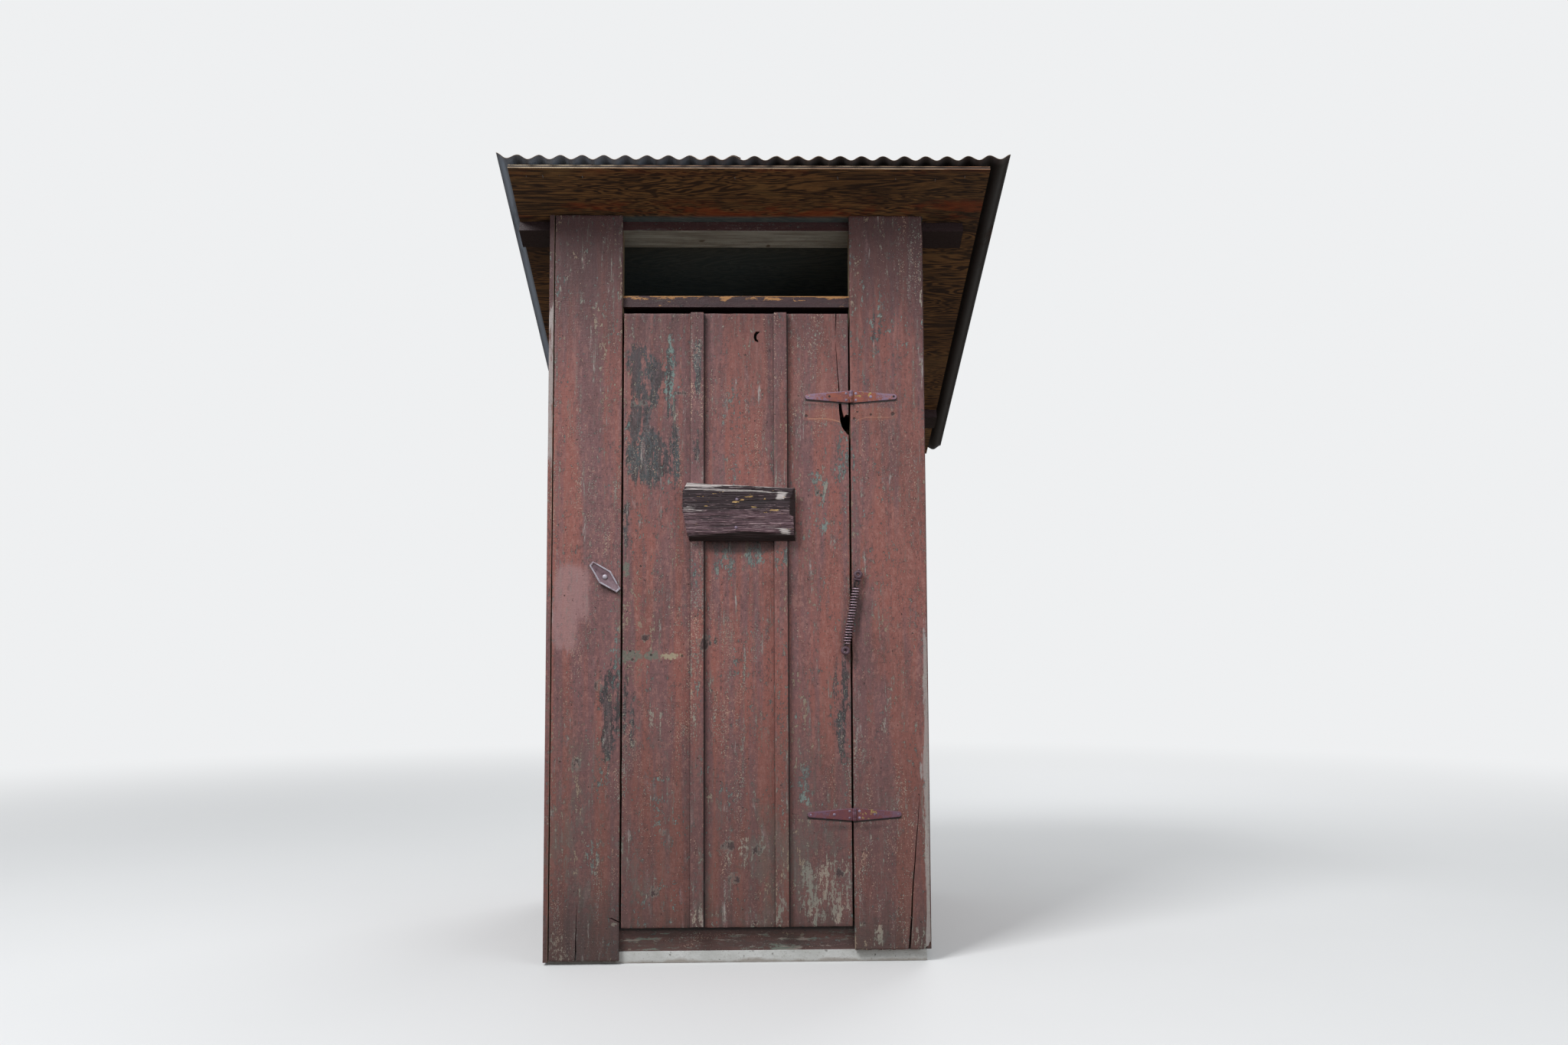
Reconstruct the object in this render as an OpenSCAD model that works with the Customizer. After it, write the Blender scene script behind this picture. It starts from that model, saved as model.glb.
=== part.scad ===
// Wooden outhouse: a small plank building on a framed floor, with a ledged door,
// an open transom over it and a single-pitch roof of corrugated sheets on plywood.
// All sizes are in millimetres. The ground is z = 0, +X is to the right of the door
// as it is seen from outside, the front faces -Y, and the origin is the middle of
// the footprint.

/* [Frame] */
// Width of the timber frame across the front
frame_w = 1229; // [1000:1:1800]
// Depth of the timber frame from front to back
frame_d = 1206; // [900:1:1800]
// Thickness of a framing timber
stud_t = 38; // [30:1:50]
// Width of a framing timber
stud_w = 89; // [70:1:120]
// Height of the middle of the girts above the ground
girt_z = 1180; // [700:1:1500]

/* [Base] */
// Height of the concrete pad
pad_h = 36; // [20:1:80]
// Distance of the front rim behind the frame's front, which clears the shut door
rim_setback = 6; // [5:1:15]
// Thickness of the floor planks
floor_t = 20; // [15:1:30]
// Width of a floor plank
floor_plank_w = 146; // [90:1:200]
// Gap between floor planks
floor_plank_gap = 5; // [2:1:8]

/* [Walls] */
// Thickness of the front and back boards
board_t = 20; // [15:1:28]
// Thickness of the side walls' boards
side_t = 15; // [12:1:28]
// Height of the boards' lower ends above the ground
board_foot = 8; // [3:1:30]
// Height of the right side's lower ends above the ground
right_foot = 36; // [3:1:60]
// Gap between the left front board and the edge of the side wall
corner_gap = 3; // [1:1:8]
// Distance by which the right front board falls short of the side wall's outer face
corner_lap = 4; // [1:1:10]
// Gap between the top of a wall and the roof deck
head_gap = 2; // [1:0.5:6]
// Width of a batten
batten_w = 44; // [35:1:60]
// Thickness of a batten
batten_t = 19; // [12:1:25]
// Distance between battens on the side and back walls
batten_pitch = 290; // [220:1:340]
// Gap round a purlin where it passes through a wall
notch_gap = 2; // [1:0.5:5]

/* [Front opening] */
// Width of the board to the left of the door
board_left_w = 227; // [180:1:300]
// Width of the board to the right of the door
board_right_w = 248; // [180:1:300]
// Height of the header rail's lower face above the ground
header_z = 2161; // [2150:1:2220]
// Height of the crack up the right front board
crack_h = 532; // [100:1:900]
// Distance of the crack's lower end from the board's outer edge
crack_in = 92; // [40:1:120]
// Width of the cracks at their lower ends
crack_w = 6; // [2:1:10]
// Height of the crack up the left front board
split_h = 190; // [60:1:400]
// Distance of that crack from the board's outer edge
split_in = 80; // [40:1:160]
// Height of the rotted corner of the right front board
rot_h = 33; // [15:1:80]

/* [Door] */
// Gap between the door and the boards beside it
door_gap = 5; // [5:0.5:8]
// Height of the door's lower edge above the ground
door_z = 113; // [105:1:118]
// Height of the door
door_h = 2022; // [1950:1:2030]
// Width of the board at the latch side
door_board_latch_w = 246; // [200:1:280]
// Width of the board at the hinge side
door_board_hinge_w = 229; // [200:1:280]
// Gap between the door's boards, behind the battens
door_board_gap = 3; // [1:0.5:6]
// Width of a ledge on the door's inner face
ledge_w = 140; // [90:1:180]
// Thickness of the ledges and the brace
ledge_t = 20; // [15:1:28]
// Distance of the ledges' ends from the door's edges
ledge_in = 42; // [30:1:80]
// Distance of the outer ledges from the door's ends
ledge_end = 170; // [100:1:300]
// Width of the brace between the ledges
brace_w = 89; // [60:1:120]
// Height of the broken notch's middle above the door's lower edge
notch_up = 1660; // [1500:1:1670]
// Length of the broken notch
notch_len = 100; // [40:1:110]
// Depth of the broken notch from the door's edge
notch_deep = 32; // [10:1:40]

/* [Hinges] */
// Distance of the hinge pin to the right of the opening's edge
pin_out = 3; // [0:0.5:6]
// Diameter of the hinge pin
pin_d = 6; // [4:0.5:8]
// Outer diameter of the hinge barrel
barrel_d = 11; // [9:0.5:14]
// Height of the hinge barrel and of the strap beside it
barrel_h = 40; // [30:1:60]
// Length of a strap from the pin to its tip
strap_len = 153; // [110:1:200]
// Height of a strap at its tip
strap_tip_h = 17; // [12:1:24]
// Thickness of the straps
strap_t = 2.6; // [2:0.2:4]
// Height of the upper hinge above the ground
hinge_upper_z = 1851; // [1700:1:1950]
// Height of the lower hinge above the ground
hinge_lower_z = 472; // [300:1:700]
// Running gap between hinge parts
hinge_gap = 0.4; // [0.3:0.1:0.8]
// Radial play of the pin in the door's knuckle
pin_play = 0.08; // [0.02:0.02:0.1]

/* [Turn button] */
// Distance from the button's pivot to the door's edge
button_in = 57; // [56:1:62]
// Height of the pivot above the ground
button_z = 1250; // [1000:1:1500]
// Length of the button
button_len = 128; // [122:1:128]
// Width of the button across the pivot
button_w = 54; // [40:1:60]
// Width of the button's ends
button_tip_w = 18; // [10:1:20]
// Thickness of the button's plate
button_t = 3; // [2:0.5:4]
// Height of the rim round the button
button_rim = 3; // [1:0.5:4]
// Width of that rim
button_rim_w = 6; // [4:1:8]
// Tilt of the button down towards the door
button_tilt = 45; // [45:1:80]
// Thickness of the washer that holds the button off the boards
washer_t = 5.5; // [5.5:0.5:9]
// Diameter of the washer
washer_d = 24; // [16:1:30]
// Diameter of the bolt through the button
bolt_d = 8; // [6:0.5:10]
// Diameter of the bolt's round head
bolt_head_d = 19; // [14:1:22]

/* [Door spring] */
// Outer diameter of the spring
spring_d = 23; // [16:1:26]
// Diameter of the spring's wire
wire_d = 3.6; // [2:0.2:4]
// Number of turns
spring_turns = 19; // [10:1:24]
// Length of the coiled part
coil_len = 188; // [120:1:200]
// Distance of the upper eye to the right of the hinge pin
eye_right = 20; // [12:1:40]
// Distance of the lower eye to the left of the hinge pin
eye_left = 27; // [18:1:50]
// Height of the upper eye above the ground
eye_upper_z = 1270; // [1200:1:1400]
// Height of the lower eye above the ground
eye_lower_z = 1000; // [900:1:1050]
// Distance of the spring's middle in front of the boards
spring_out = 15; // [14:1:25]

/* [Sign] */
// Width of the sign board
sign_w = 372; // [300:1:420]
// Height of the sign board at its left end
sign_h = 178; // [120:1:220]
// Thickness of the sign board
sign_t = 26; // [15:1:40]
// Distance of the sign's middle to the right of the door's middle
sign_shift = 8; // [0:1:40]
// Height of the sign's middle above the ground
sign_z = 1470; // [1350:1:1600]

/* [Roof] */
// Slope of the roof in degrees
roof_pitch = 22.5; // [18:0.5:26]
// Height of the deck's underside over the front face of the wall
roof_z = 2474; // [2460:1:2600]
// Distance along the slope that the deck runs on past the front face
deck_front = 226; // [100:1:350]
// Distance along the slope that the deck runs on past the back face
deck_back = 258.3; // [100:0.1:350]
// Gap between the two deck sheets
deck_gap = 3; // [1:0.5:6]
// Width of the deck
deck_w = 1562; // [1400:1:1700]
// Distance of the deck's middle to the right of the building's middle
deck_shift = 44; // [-60:1:60]
// Thickness of the deck
deck_t = 13; // [9:1:20]
// Distance of the front purlin's right end inside the deck's edge
purlin_in = 55; // [0:1:80]
// Width of one corrugation
wave_w = 69.4; // [60:0.2:76]
// Height of a corrugation
wave_h = 18; // [12:1:24]
// Thickness of the roofing sheet
sheet_t = 0.9; // [0.6:0.1:1.5]
// Corrugations across one full sheet
sheet_waves = 11; // [9:1:12]
// Corrugations across the whole roof
roof_waves = 24; // [23:1:24]
// Corrugations that a side sheet laps over the middle one
lap_waves = 2; // [1:1:2]
// Distance that the sheets run on past the deck's front edge
sheet_front = 22; // [5:1:50]
// Distance that the sheets run on past the deck's back edge
sheet_back = 4; // [1:1:50]
// Distance that the sheets run on past the deck's left edge
sheet_left = 37; // [10:1:60]
// Height that the roofing's outer edges are bent up
edge_lift = 12; // [1:1:20]
// Corrugations that the bend takes at the left edge
bend_left = 1.5; // [1:0.5:4]
// Corrugations that the bend takes at the right edge
bend_right = 4; // [1:0.5:4]

/* [Hidden] */

// Colours of the finishes
red_paint = [0.50, 0.36, 0.35];
dull_paint = [0.38, 0.29, 0.28];
bare_wood = [0.42, 0.37, 0.30];
dark_wood = [0.25, 0.20, 0.16];
plywood = [0.30, 0.21, 0.14];
concrete = [0.62, 0.63, 0.60];
roofing = [0.34, 0.35, 0.37];
rusty_iron = [0.36, 0.25, 0.20];

// Play between pieces that only touch
seat = 0.3;
// Reach of a cutting block past the building
reach = 2 * roof_z;
// Facets of small round parts
round_fn = 48;

// Planes of the frame and the walls
frame_x = frame_w / 2;
frame_y = frame_d / 2;
wall_x = frame_x + side_t;
wall_y = frame_y + board_t;
face_y = -wall_y;
rim_y = -frame_y + rim_setback;
rim_z = pad_h;
floor_z = rim_z + stud_w + floor_t;

// The opening and the door in it
opening_l = -frame_x + corner_gap + board_left_w;
opening_r = wall_x - corner_lap - board_right_w;
door_l = opening_l + door_gap;
door_r = opening_r - door_gap;
door_w = door_r - door_l;
joint_l = door_l + door_board_latch_w;
joint_r = door_r - door_board_hinge_w;

// The hinge line and the pieces beside it
pin_x = opening_r + pin_out;
pin_y = face_y - seat - barrel_d / 2;
strap_root = barrel_d / 2 + hinge_gap;

// The roof, measured along its slope from the wall's front face
purlin_front_s = (board_t + seat + stud_t * sin(roof_pitch)) / cos(roof_pitch);
purlin_back_s = (board_t + frame_d - seat) / cos(roof_pitch) - stud_w;
deck_len = deck_front + 2 * wall_y / cos(roof_pitch) + deck_back;
sheet_len = sheet_front + deck_len + sheet_back;
deck_l = deck_shift - deck_w / 2;
deck_r = deck_shift + deck_w / 2;
sheet_x = deck_l - sheet_left;
wave_steps = 10;

// Puts its children on the roof: y runs down the slope from the front face and
// z stands up from the underside of the deck.
module on_roof() {
    translate([0, face_y, roof_z])
        rotate([-roof_pitch, 0, 0])
            children();
}

// Cuts its children off at a distance under the deck
module under_deck(gap) {
    difference() {
        children();
        on_roof()
            translate([-reach, -reach, -gap])
                cube([2 * reach, 2 * reach, reach]);
    }
}

// One purlin, a timber laid flat under the deck, with a margin all round
module purlin(s, x0, x1, margin = 0) {
    on_roof()
        translate([x0, s - margin, -stud_t - margin])
            cube([x1 - x0, stud_w + 2 * margin, stud_t + margin - seat]);
}

// Both purlins with the gap that the walls leave round them
module purlin_notches() {
    purlin(purlin_front_s, -reach, reach, notch_gap);
    purlin(purlin_back_s, -reach, reach, notch_gap);
}

module concrete_pad() {
    color(concrete)
        translate([-frame_x, -frame_y, 0])
            cube([frame_w, frame_d, pad_h]);
}

// A rim or joist on edge between two lines across the frame
module rim_across(y) {
    color(bare_wood)
        translate([-frame_x, y, rim_z])
            cube([frame_w, stud_t, stud_w]);
}

module rim_along(x) {
    color(bare_wood)
        translate([x, rim_y + stud_t, rim_z])
            cube([stud_t, frame_y - stud_t - rim_y - stud_t, stud_w]);
}

module rim_front() {
    rim_across(rim_y);
}

module rim_back() {
    rim_across(frame_y - stud_t);
}

module rim_left() {
    rim_along(-frame_x);
}

module rim_right() {
    rim_along(frame_x - stud_t);
}

module joists() {
    for (side = [-1, 1])
        rim_along(side * frame_w / 6 - stud_t / 2);
}

// Planks from side to side, with the last one ripped to the depth that is left
module floor_planks() {
    depth = frame_y - rim_y;
    step = floor_plank_w + floor_plank_gap;
    color(dark_wood)
        for (y = [0 : step : depth - floor_plank_gap])
            translate([-frame_x, rim_y + y, rim_z + stud_w])
                cube([frame_w, min(floor_plank_w, depth - y), floor_t]);
}

// A post on the floor whose top is cut to the underside of a purlin
module post(x, y, w) {
    color(bare_wood)
        under_deck(stud_t + seat)
            translate([x, y, floor_z])
                cube([w, stud_t, roof_z]);
}

module post_front_left() {
    post(-frame_x, -frame_y, stud_w);
}

module post_front_right() {
    post(frame_x - stud_w, -frame_y, stud_w);
}

module post_back_left() {
    post(-frame_x, frame_y - stud_t, stud_w);
}

module post_back_right() {
    post(frame_x - stud_w, frame_y - stud_t, stud_w);
}

module door_stud_left() {
    post(opening_l - stud_w, -frame_y, stud_w);
}

module door_stud_right() {
    post(opening_r, -frame_y, stud_w);
}

module header_rail() {
    color(dull_paint)
        translate([opening_l, -frame_y, header_z])
            cube([opening_r - opening_l, stud_w, stud_t]);
}

// Flat timbers between the posts, halfway up the three closed walls
module girts() {
    inner = frame_d - 2 * stud_t;
    color(bare_wood) {
        for (x = [-frame_x, frame_x - stud_t])
            translate([x, -inner / 2, girt_z - stud_w / 2])
                cube([stud_t, inner, stud_w]);
        translate([-frame_x + stud_w, frame_y - stud_t, girt_z - stud_w / 2])
            cube([frame_w - 2 * stud_w, stud_t, stud_w]);
    }
}

module purlin_front() {
    color(dull_paint)
        purlin(purlin_front_s, deck_l, deck_r - purlin_in);
}

module purlin_back() {
    color(dull_paint)
        purlin(purlin_back_s, deck_l, deck_r);
}

// A rafter on edge along a side wall, between the purlins
module rafter(x) {
    start = purlin_front_s + stud_w + seat;
    color(bare_wood)
        on_roof()
            translate([x, start, -stud_w])
                cube([stud_t, purlin_back_s - seat - start, stud_w - seat]);
}

module rafter_left() {
    rafter(-frame_x + seat);
}

module rafter_right() {
    rafter(frame_x - stud_t - seat);
}

// A front board from x0 to x1 with its lower end at a height, cut off under the deck
module front_board(x0, x1, foot) {
    color(red_paint)
        under_deck(head_gap)
            translate([x0, face_y, foot])
                cube([x1 - x0, board_t, roof_z]);
}

// A crack that rises from a front board's foot and leans over to the right
module crack(height, lean) {
    polygon([
        [-crack_w / 2, -crack_w],
        [crack_w / 2, -crack_w],
        [lean, height],
        [crack_w / 2, height * 0.3],
        [-crack_w / 2, height * 0.1]
    ]);
}

// Cuts an outline that is drawn on the foot of a front board through it
module through_front(foot) {
    color(red_paint)
        translate([0, face_y + board_t / 2, foot])
            rotate([90, 0, 0])
                linear_extrude(2 * board_t, center = true)
                    children();
}

// The left board has a short crack
module front_board_left() {
    edge = -frame_x + corner_gap;
    difference() {
        front_board(edge, opening_l, board_foot);
        through_front(board_foot)
            translate([edge + split_in, 0])
                crack(split_h, crack_w);
    }
}

// The right board has a long crack and a rotted lower corner
module front_board_right() {
    edge = wall_x - corner_lap;
    difference() {
        front_board(opening_r, edge, right_foot);
        through_front(right_foot) {
            translate([edge - crack_in, 0])
                crack(crack_h, crack_in / 4);
            polygon([
                [edge - rot_h * 0.8, -crack_w],
                [edge - rot_h * 0.5, rot_h * 0.25],
                [edge - rot_h * 0.2, rot_h * 0.4],
                [edge + crack_w, rot_h],
                [edge + crack_w, -crack_w]
            ]);
        }
    }
}

// A side wall to the back face, notched for the purlins. The left one shows its
// edge at the front. The right one starts behind the front board, and nothing of it
// stays in front of the purlin.
module side_wall(x, front, foot) {
    color(red_paint)
        difference() {
            under_deck(head_gap)
                translate([x, front, foot])
                    cube([side_t, wall_y - front, roof_z]);
            purlin_notches();
        }
}

module side_wall_left() {
    side_wall(-wall_x, face_y, board_foot);
}

module side_wall_right() {
    difference() {
        side_wall(frame_x, -frame_y, right_foot);
        purlin(purlin_front_s - stud_t, -reach, reach, notch_gap);
    }
}

module back_wall() {
    color(red_paint)
        under_deck(head_gap)
            translate([-frame_x, frame_y, board_foot])
                cube([frame_w, board_t, roof_z]);
}

// Middles of the battens on a wall of a given width
function batten_places(width) =
    let (count = floor(width / batten_pitch))
    [for (i = [0 : count - 1]) (i - (count - 1) / 2) * batten_pitch];

// The battens of a side wall, against the wall's outer face
module side_battens(x, foot) {
    color(red_paint)
        difference() {
            under_deck(head_gap)
                for (y = batten_places(2 * wall_y))
                    translate([x, y - batten_w / 2, foot])
                        cube([batten_t, batten_w, roof_z]);
            purlin_notches();
        }
}

module battens_left() {
    side_battens(-wall_x - batten_t, board_foot);
}

module battens_right() {
    side_battens(wall_x, right_foot);
}

module battens_back() {
    color(red_paint)
        under_deck(head_gap)
            for (x = batten_places(frame_w))
                translate([x - batten_w / 2, wall_y, board_foot])
                    cube([batten_w, batten_t, roof_z]);
}

// A sheet of the deck from one place on the slope to another
module deck_sheet(from, to) {
    color(plywood)
        on_roof()
            translate([deck_l, from - deck_front, 0])
                cube([deck_w, to - from, deck_t]);
}

module roof_deck_front() {
    deck_sheet(0, (deck_len - deck_gap) / 2);
}

module roof_deck_back() {
    deck_sheet((deck_len + deck_gap) / 2, deck_len);
}

// Share of a bend's height that is left at a number of waves from the edge
function bend(n, waves) = pow(max(0, 1 - n / waves), 2);

// Height of the roofing's underside at a number of waves from its left edge
function wave(n) =
    wave_h / 2 * (1 + cos(360 * n))
    + edge_lift * (bend(n, bend_left) + bend(roof_waves - n, bend_right));

// Outline of a corrugated sheet between two wave numbers
function sheet_outline(first, last) =
    let (steps = round((last - first) * wave_steps))
    concat(
        [for (i = [0 : steps]) let (n = first + i / wave_steps) [n * wave_w, wave(n)]],
        [for (i = [steps : -1 : 0]) let (n = first + i / wave_steps) [n * wave_w, wave(n) + sheet_t]]
    );

// A corrugated sheet that is laid a height over the deck
module corrugated_sheet(first, last, lift) {
    color(roofing)
        on_roof()
            translate([sheet_x, sheet_len - deck_front - sheet_front, deck_t + seat + lift])
                rotate([90, 0, 0])
                    linear_extrude(sheet_len)
                        polygon(sheet_outline(first, last));
}

// The side sheets lie over the edges of the middle one
lap_lift = sheet_t + seat;

module roof_sheet_left() {
    corrugated_sheet(0, sheet_waves, lap_lift);
}

module roof_sheet_middle() {
    corrugated_sheet(sheet_waves - lap_waves, roof_waves - sheet_waves + lap_waves + 0.5, 0);
}

module roof_sheet_right() {
    corrugated_sheet(roof_waves - sheet_waves, roof_waves, lap_lift);
}

// One upright board of the door
module door_board(x0, x1) {
    translate([x0, face_y, door_z])
        cube([x1 - x0, board_t, door_h]);
}

// Three boards, with a sliver split off and a piece broken out at the hinge edge
module door_boards() {
    color(red_paint) {
        door_board(door_l, joint_l - door_board_gap / 2);
        door_board(joint_l + door_board_gap / 2, joint_r - door_board_gap / 2);
        difference() {
            door_board(joint_r + door_board_gap / 2, door_r);
            translate([door_r, face_y + board_t / 2, door_z + notch_up])
                rotate([90, 0, 0])
                    linear_extrude(2 * board_t, center = true)
                        polygon([
                            [door_gap, notch_len * 0.12],
                            [-notch_deep * 0.6, notch_len * 0.12],
                            [-notch_deep * 0.85, notch_len / 2],
                            [-notch_deep, notch_len / 2],
                            [-notch_deep * 0.87, notch_len * 0.1],
                            [-notch_deep * 0.75, -notch_len * 0.23],
                            [-notch_deep * 0.4, -notch_len * 0.4],
                            [door_gap, -notch_len / 2]
                        ]);
        }
    }
}

module door_battens() {
    color(red_paint)
        for (x = [joint_l, joint_r])
            translate([x - batten_w / 2, face_y - batten_t, door_z])
                cube([batten_w, batten_t, door_h]);
}

// Two ledges and a brace that rises from the hinge side, on the door's inner face
module door_ledges() {
    left = door_l + ledge_in;
    span = door_w - 2 * ledge_in;
    low = door_z + ledge_end;
    high = door_z + door_h - ledge_end - ledge_w;
    color(bare_wood)
        translate([left, -frame_y, 0])
            rotate([90, 0, 0])
                translate([0, 0, -ledge_t])
                    linear_extrude(ledge_t) {
                        for (z = [low, high])
                            translate([0, z])
                                square([span, ledge_w]);
                        polygon([
                            [span, low + ledge_w / 2],
                            [span, low + ledge_w / 2 + brace_w],
                            [0, high + ledge_w / 2],
                            [0, high + ledge_w / 2 - brace_w]
                        ]);
                    }
}

// Rough outline of the sign about its middle, as shares of its width and height
sign_outline = [
    [-0.46, 0.50], [0.49, 0.40], [0.49, 0.18], [0.45, -0.02], [0.49, -0.12],
    [0.50, -0.46], [0.26, -0.43], [0.10, -0.40], [-0.16, -0.42], [-0.44, -0.50],
    [-0.46, -0.44], [-0.50, 0.00], [-0.50, 0.34]
];

// A thick rough board, nailed over the battens
module sign_board() {
    color(dark_wood)
        translate([(door_l + door_r) / 2 + sign_shift, face_y - batten_t, sign_z])
            rotate([90, 0, 0])
                linear_extrude(sign_t)
                    polygon([for (p = sign_outline) [p[0] * sign_w, p[1] * sign_h]]);
}

// Outline of a tapered strap from the pin outwards
module strap_outline() {
    tip_x = strap_len - strap_tip_h / 2;
    polygon([
        [strap_root, -barrel_h / 2],
        [tip_x, -strap_tip_h / 2],
        [tip_x, strap_tip_h / 2],
        [strap_root, barrel_h / 2]
    ]);
    translate([tip_x, 0])
        circle(d = strap_tip_h, $fn = round_fn);
}

// Half of a strap hinge about its pin, pointing to +X, with knuckles that each
// have a lower end and a height
module hinge_half(knuckles) {
    translate([0, barrel_d / 2, 0])
        rotate([90, 0, 0])
            linear_extrude(strap_t)
                strap_outline();
    for (k = knuckles) {
        translate([0, 0, k[0]])
            cylinder(d = barrel_d, h = k[1], $fn = round_fn);
        translate([0, barrel_d / 2 - strap_t, k[0]])
            cube([strap_root + strap_t, strap_t, k[1]]);
    }
}

// Heights of the knuckles: the wall's two hold the door's one between them
knuckle_h = barrel_h / 4;
inner_knuckle = [-barrel_h / 4 + hinge_gap, barrel_h / 2 - 2 * hinge_gap];

// The wall's half, which carries the pin
module hinge_plate(z) {
    color(rusty_iron)
        translate([pin_x, pin_y, z]) {
            hinge_half([[-barrel_h / 2, knuckle_h], [barrel_h / 4, knuckle_h]]);
            translate([0, 0, -barrel_h / 2])
                cylinder(d = pin_d, h = barrel_h, $fn = round_fn);
        }
}

// The door's half, with a bore that turns on the pin
module hinge_strap(z) {
    color(rusty_iron)
        translate([pin_x, pin_y, z])
            difference() {
                mirror([1, 0, 0])
                    hinge_half([inner_knuckle]);
                cylinder(r = pin_d / 2 + pin_play, h = 2 * barrel_h, center = true, $fn = round_fn);
            }
}

module hinge_upper_plate() {
    hinge_plate(hinge_upper_z);
}

module hinge_upper_strap() {
    hinge_strap(hinge_upper_z);
}

module hinge_lower_plate() {
    hinge_plate(hinge_lower_z);
}

module hinge_lower_strap() {
    hinge_strap(hinge_lower_z);
}

// The pivot of the turn button, on the left front board
button_x = door_l - button_in;
button_y = face_y - washer_t - seat;

// Outline of the button, smaller all round by a margin
module button_outline(margin = 0) {
    half = button_len / 2 - margin;
    tip = button_tip_w / 2 - margin / 2;
    waist = button_w / 2 - margin;
    polygon([
        [-half, -tip], [0, -waist], [half, -tip],
        [half, tip], [0, waist], [-half, tip]
    ]);
}

// A plate with a raised rim and a bore for the bolt
module turn_button() {
    color(rusty_iron)
        translate([button_x, button_y, button_z])
            rotate([90, button_tilt, 0])
                difference() {
                    linear_extrude(button_t + button_rim)
                        button_outline();
                    translate([0, 0, button_t])
                        linear_extrude(2 * button_rim)
                            button_outline(button_rim_w);
                    cylinder(d = bolt_d + 2 * pin_play, h = 4 * button_t, center = true, $fn = round_fn);
                }
}

// The washer, shank and round head of the button's bolt
module button_bolt() {
    head_y = washer_t + button_t + 2 * seat;
    color(rusty_iron)
        translate([button_x, face_y, button_z])
            rotate([90, 0, 0]) {
                cylinder(d = washer_d, h = washer_t, $fn = round_fn);
                cylinder(d = bolt_d, h = head_y + seat, $fn = round_fn);
                translate([0, 0, head_y])
                    intersection() {
                        translate([0, 0, -bolt_head_d / 3])
                            sphere(d = bolt_head_d * 1.2, $fn = round_fn);
                        cylinder(d = bolt_head_d, h = bolt_head_d, $fn = round_fn);
                    }
            }
}

// The two eyes that the spring hangs between, and the line between them
eye_wall = [pin_x + eye_right, face_y - spring_out, eye_upper_z];
eye_door = [pin_x - eye_left, face_y - spring_out, eye_lower_z];
spring_len = norm(eye_wall - eye_door);
spring_lean = atan2(eye_wall[0] - eye_door[0], eye_wall[2] - eye_door[2]);
coil_r = (spring_d - wire_d) / 2;
coil_low = (spring_len - coil_len) / 3;
turn_steps = 9;
wire_sides = 6;

// The wire's middle line, as [place up the axis, radius, turn in degrees]:
// straight at both ends, with a quarter of a turn to reach the coil
function wire_line() = concat(
    [[0, 0, 0]],
    [for (i = [0 : spring_turns * turn_steps])
        [coil_low + coil_len * i / (spring_turns * turn_steps),
         coil_r * min(1, i / turn_steps * 2, (spring_turns * turn_steps - i) / turn_steps * 2),
         360 * i / turn_steps]],
    [[spring_len, 0, 360 * spring_turns]]
);

function wire_place(p) = [p[1] * cos(p[2]), p[1] * sin(p[2]), p[0]];
function unit(v) = v / norm(v);

// A ring of points round the wire, square to its direction there
function wire_ring(line, i) =
    let (
        last = len(line) - 1,
        ahead = unit(wire_place(line[min(i + 1, last)]) - wire_place(line[max(i - 1, 0)])),
        out = [cos(line[i][2]), sin(line[i][2]), 0],
        side = unit(cross(ahead, out)),
        up = cross(side, ahead)
    )
    [for (k = [0 : wire_sides - 1])
        wire_place(line[i]) + wire_d / 2 * (cos(360 * k / wire_sides) * up + sin(360 * k / wire_sides) * side)];

module door_spring() {
    line = wire_line();
    rings = [for (i = [0 : len(line) - 1]) wire_ring(line, i)];
    points = [for (ring = rings) for (p = ring) p];
    top = (len(line) - 1) * wire_sides;
    sides = [for (i = [0 : len(line) - 2]) for (k = [0 : wire_sides - 1])
        let (a = i * wire_sides + k, b = i * wire_sides + (k + 1) % wire_sides)
        for (f = [[a, a + wire_sides, b], [b, a + wire_sides, b + wire_sides]]) f];
    ends = [
        [for (k = [0 : wire_sides - 1]) k],
        [for (k = [wire_sides - 1 : -1 : 0]) top + k]
    ];
    color(rusty_iron)
        translate(eye_door)
            rotate([0, spring_lean, 0])
                polyhedron(points, concat(sides, ends));
}

// A ring round the spring's end and a shank back to the boards
module spring_eye(place) {
    ring_r = wire_d + seat;
    color(rusty_iron)
        translate(place) {
            rotate([0, spring_lean, 0])
                rotate_extrude($fn = round_fn)
                    translate([ring_r, 0])
                        circle(d = wire_d, $fn = round_fn);
            translate([0, ring_r - wire_d / 4, 0])
                rotate([-90, 0, 0])
                    cylinder(d = wire_d, h = spring_out - ring_r + wire_d / 4, $fn = round_fn);
        }
}

module spring_eye_wall() {
    spring_eye(eye_wall);
}

module spring_eye_door() {
    spring_eye(eye_door);
}

concrete_pad();
rim_front();
rim_back();
rim_left();
rim_right();
joists();
floor_planks();
post_front_left();
post_front_right();
post_back_left();
post_back_right();
door_stud_left();
door_stud_right();
header_rail();
girts();
purlin_front();
purlin_back();
rafter_left();
rafter_right();
front_board_left();
front_board_right();
side_wall_left();
side_wall_right();
back_wall();
battens_left();
battens_right();
battens_back();
roof_deck_front();
roof_deck_back();
roof_sheet_left();
roof_sheet_middle();
roof_sheet_right();
door_boards();
door_battens();
door_ledges();
sign_board();
hinge_upper_plate();
hinge_upper_strap();
hinge_lower_plate();
hinge_lower_strap();
turn_button();
button_bolt();
door_spring();
spring_eye_wall();
spring_eye_door();
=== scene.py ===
# %% [markdown]
# # A weathered plank outhouse
#
# The timbers, boards, hinges and roof of this small building were made as exact
# solids and come in as a fixed frame. This lesson gives them their looks: worn
# boards with cracks, flaking paint, a rough sign, rusty iron and bent roofing.
# Everything is in metres. The front faces -Y and the ground is at z = 0.

import math
import random

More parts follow.
